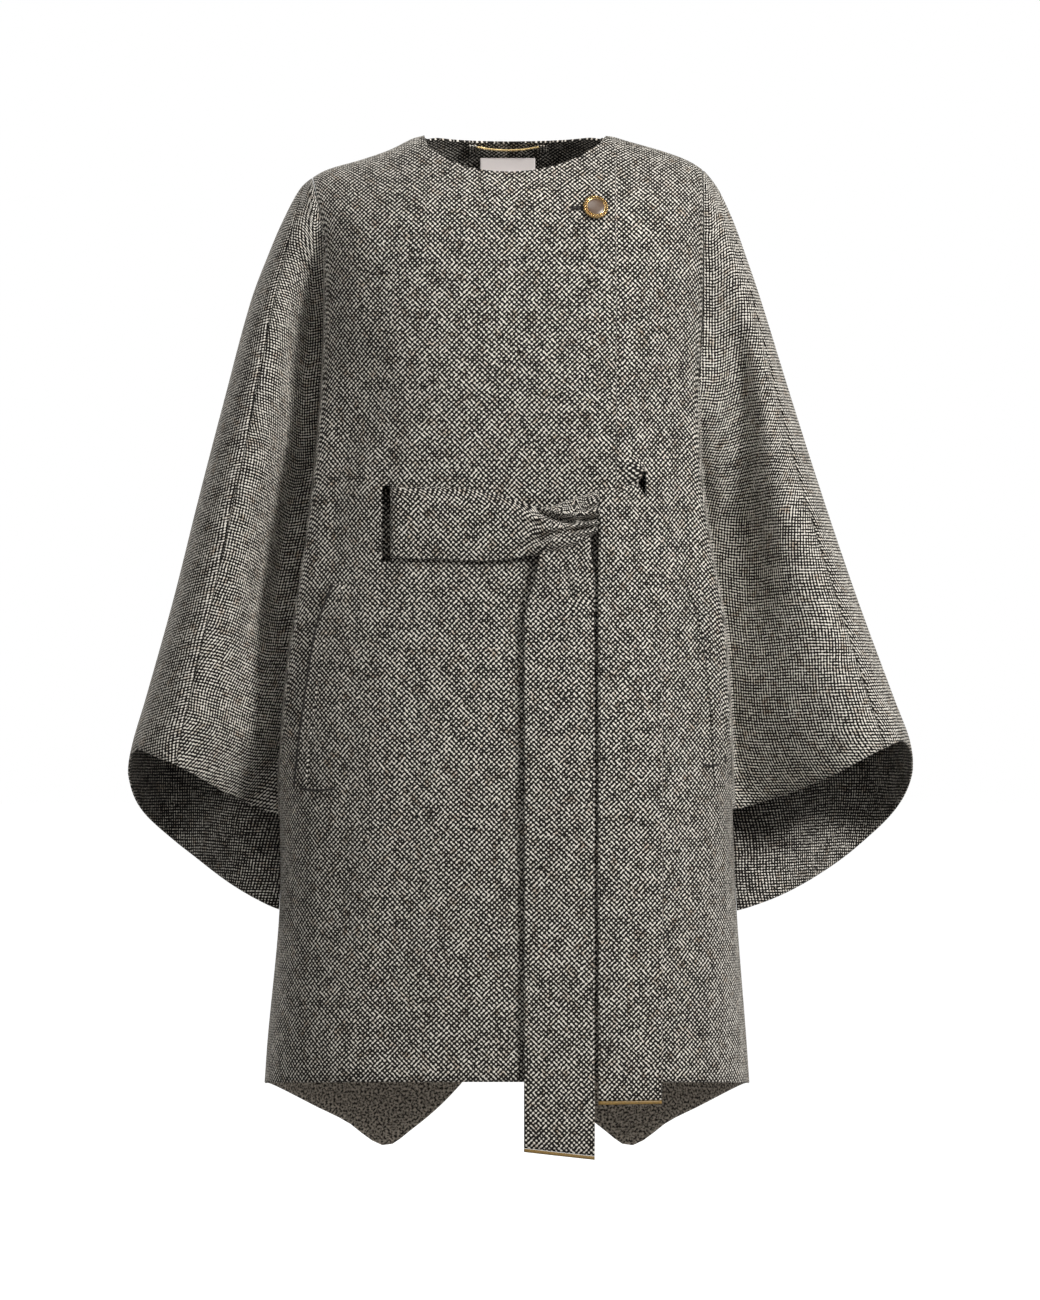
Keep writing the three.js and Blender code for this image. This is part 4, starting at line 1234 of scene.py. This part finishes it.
def chain():
    """Oval links across the back neck, each turned a quarter from the last."""
    points = []
    for i in range(CHAIN["links"] + 1):
        t = -1 + 2 * i / CHAIN["links"]
        drop = NECK_BACK_DROP + CHAIN["drop"] + CHAIN["sag"] * (1 - t * t)
        points.append(inside_back(t * (CHAIN["half"] + 1), drop, 3))
    links = []
    for i, (start, end) in enumerate(zip(points, points[1:])):
        along = (end - start).normalized()
        side = along.cross(Vector((0, 0, 1))).normalized()
        over = side.cross(along)
        axis = side if i % 2 else over
        third = axis.cross(along)
        turn = Matrix((along, third, axis)).transposed().to_4x4()
        place = Matrix.Translation((start + end) / 2 * MM) @ turn
        links.append(added(
            "torus", place, (1.3, 1, 1), major_radius=CHAIN["link"] * MM, minor_radius=CHAIN["wire"] * MM,
            major_segments=12, minor_segments=8,
        ))
    place_piece(joined(links, "hanger_chain_links", GILT), "hanger_chain")


button()
buttonhole()
chain()


# Stage, light and camera

FLOOR_DROP = 1.25
CAMERA_FAR = 8.0
CAMERA_X = 0.0125
CAMERA_Z = -0.517
FRAME_HIGH = 1.3
SENSOR = 36.0
ROOM_LIGHT = 0.06


def backdrop():
    """A pale floor: a wide flat plane below the coat, which the camera sees white."""
    bpy.ops.object.select_all(action="DESELECT")
    bpy.ops.mesh.primitive_plane_add(size=60, location=(0, 0, -FLOOR_DROP))
    ground = bpy.context.object
    ground.name = "pale_floor"
    material, shader = new_material("pale floor paint")
    shader.inputs["Base Color"].default_value = linear("#9c9c9c")
    shader.inputs["Roughness"].default_value = 1.0
    shader.inputs["Specular IOR Level"].default_value = 0.0
    shader.inputs["Emission Color"].default_value = linear("#ffffff")
    seen = node(material, "ShaderNodeLightPath")
    material.node_tree.links.new(seen.outputs["Is Camera Ray"], shader.inputs["Emission Strength"])
    ground.data.materials.append(material)


def light(name, place, target, size, watts):
    data = bpy.data.lights.new(name, "AREA")
    data.shape = "RECTANGLE"
    data.size, data.size_y = size
    data.energy = watts
    lamp = bpy.data.objects.new(name, data)
    lamp.location = place
    lamp.rotation_euler = (Vector(target) - Vector(place)).to_track_quat("-Z", "Y").to_euler()
    bpy.context.collection.objects.link(lamp)


def studio():
    """Soft lamps in a dim room. The backdrop looks white, but it throws little light into the hollows."""
    world = bpy.data.worlds.new("white studio")
    bpy.context.scene.world = world
    world.use_nodes = True
    room = world.node_tree.nodes["Background"]
    room.inputs["Color"].default_value = linear("#ffffff")
    seen = node(world, "ShaderNodeLightPath")
    strength = {"Value": seen.outputs["Is Camera Ray"], "To Min": ROOM_LIGHT}
    strength = node(world, "ShaderNodeMapRange", strength)
    world.node_tree.links.new(strength.outputs[0], room.inputs["Strength"])
    light("key softbox", (2.6, -2.7, 1.7), (0, 0, -0.5), (0.8, 0.8), 184)
    light("side softbox", (-3.4, -1.9, 0.7), (0, 0, -0.5), (1.0, 1.4), 22)
    light("front softbox", (0.4, -4.2, 0.0), (0, 0, -0.4), (1.0, 1.0), 9)
    light("top softbox", (0, -1.5, 2.3), (0, 0, -0.3), (1.6, 1.0), 34)
    light("back softbox", (-2.2, 3.4, 1.5), (0, 0, -0.5), (1.6, 1.6), 120)
    light("low back softbox", (2.8, 2.6, 0.2), (0, 0, -0.5), (1.2, 1.6), 60)


def camera():
    data = bpy.data.cameras.new("photo camera")
    data.sensor_width = SENSOR
    data.lens = SENSOR * CAMERA_FAR / FRAME_HIGH
    data.clip_end = 100
    view = bpy.data.objects.new("photo camera", data)
    view.location = (CAMERA_X, -CAMERA_FAR, CAMERA_Z)
    view.rotation_euler = (math.pi / 2, 0, 0)
    bpy.context.collection.objects.link(view)
    bpy.context.scene.camera = view


backdrop()
studio()
camera()
bpy.context.scene.view_settings.view_transform = "Standard"
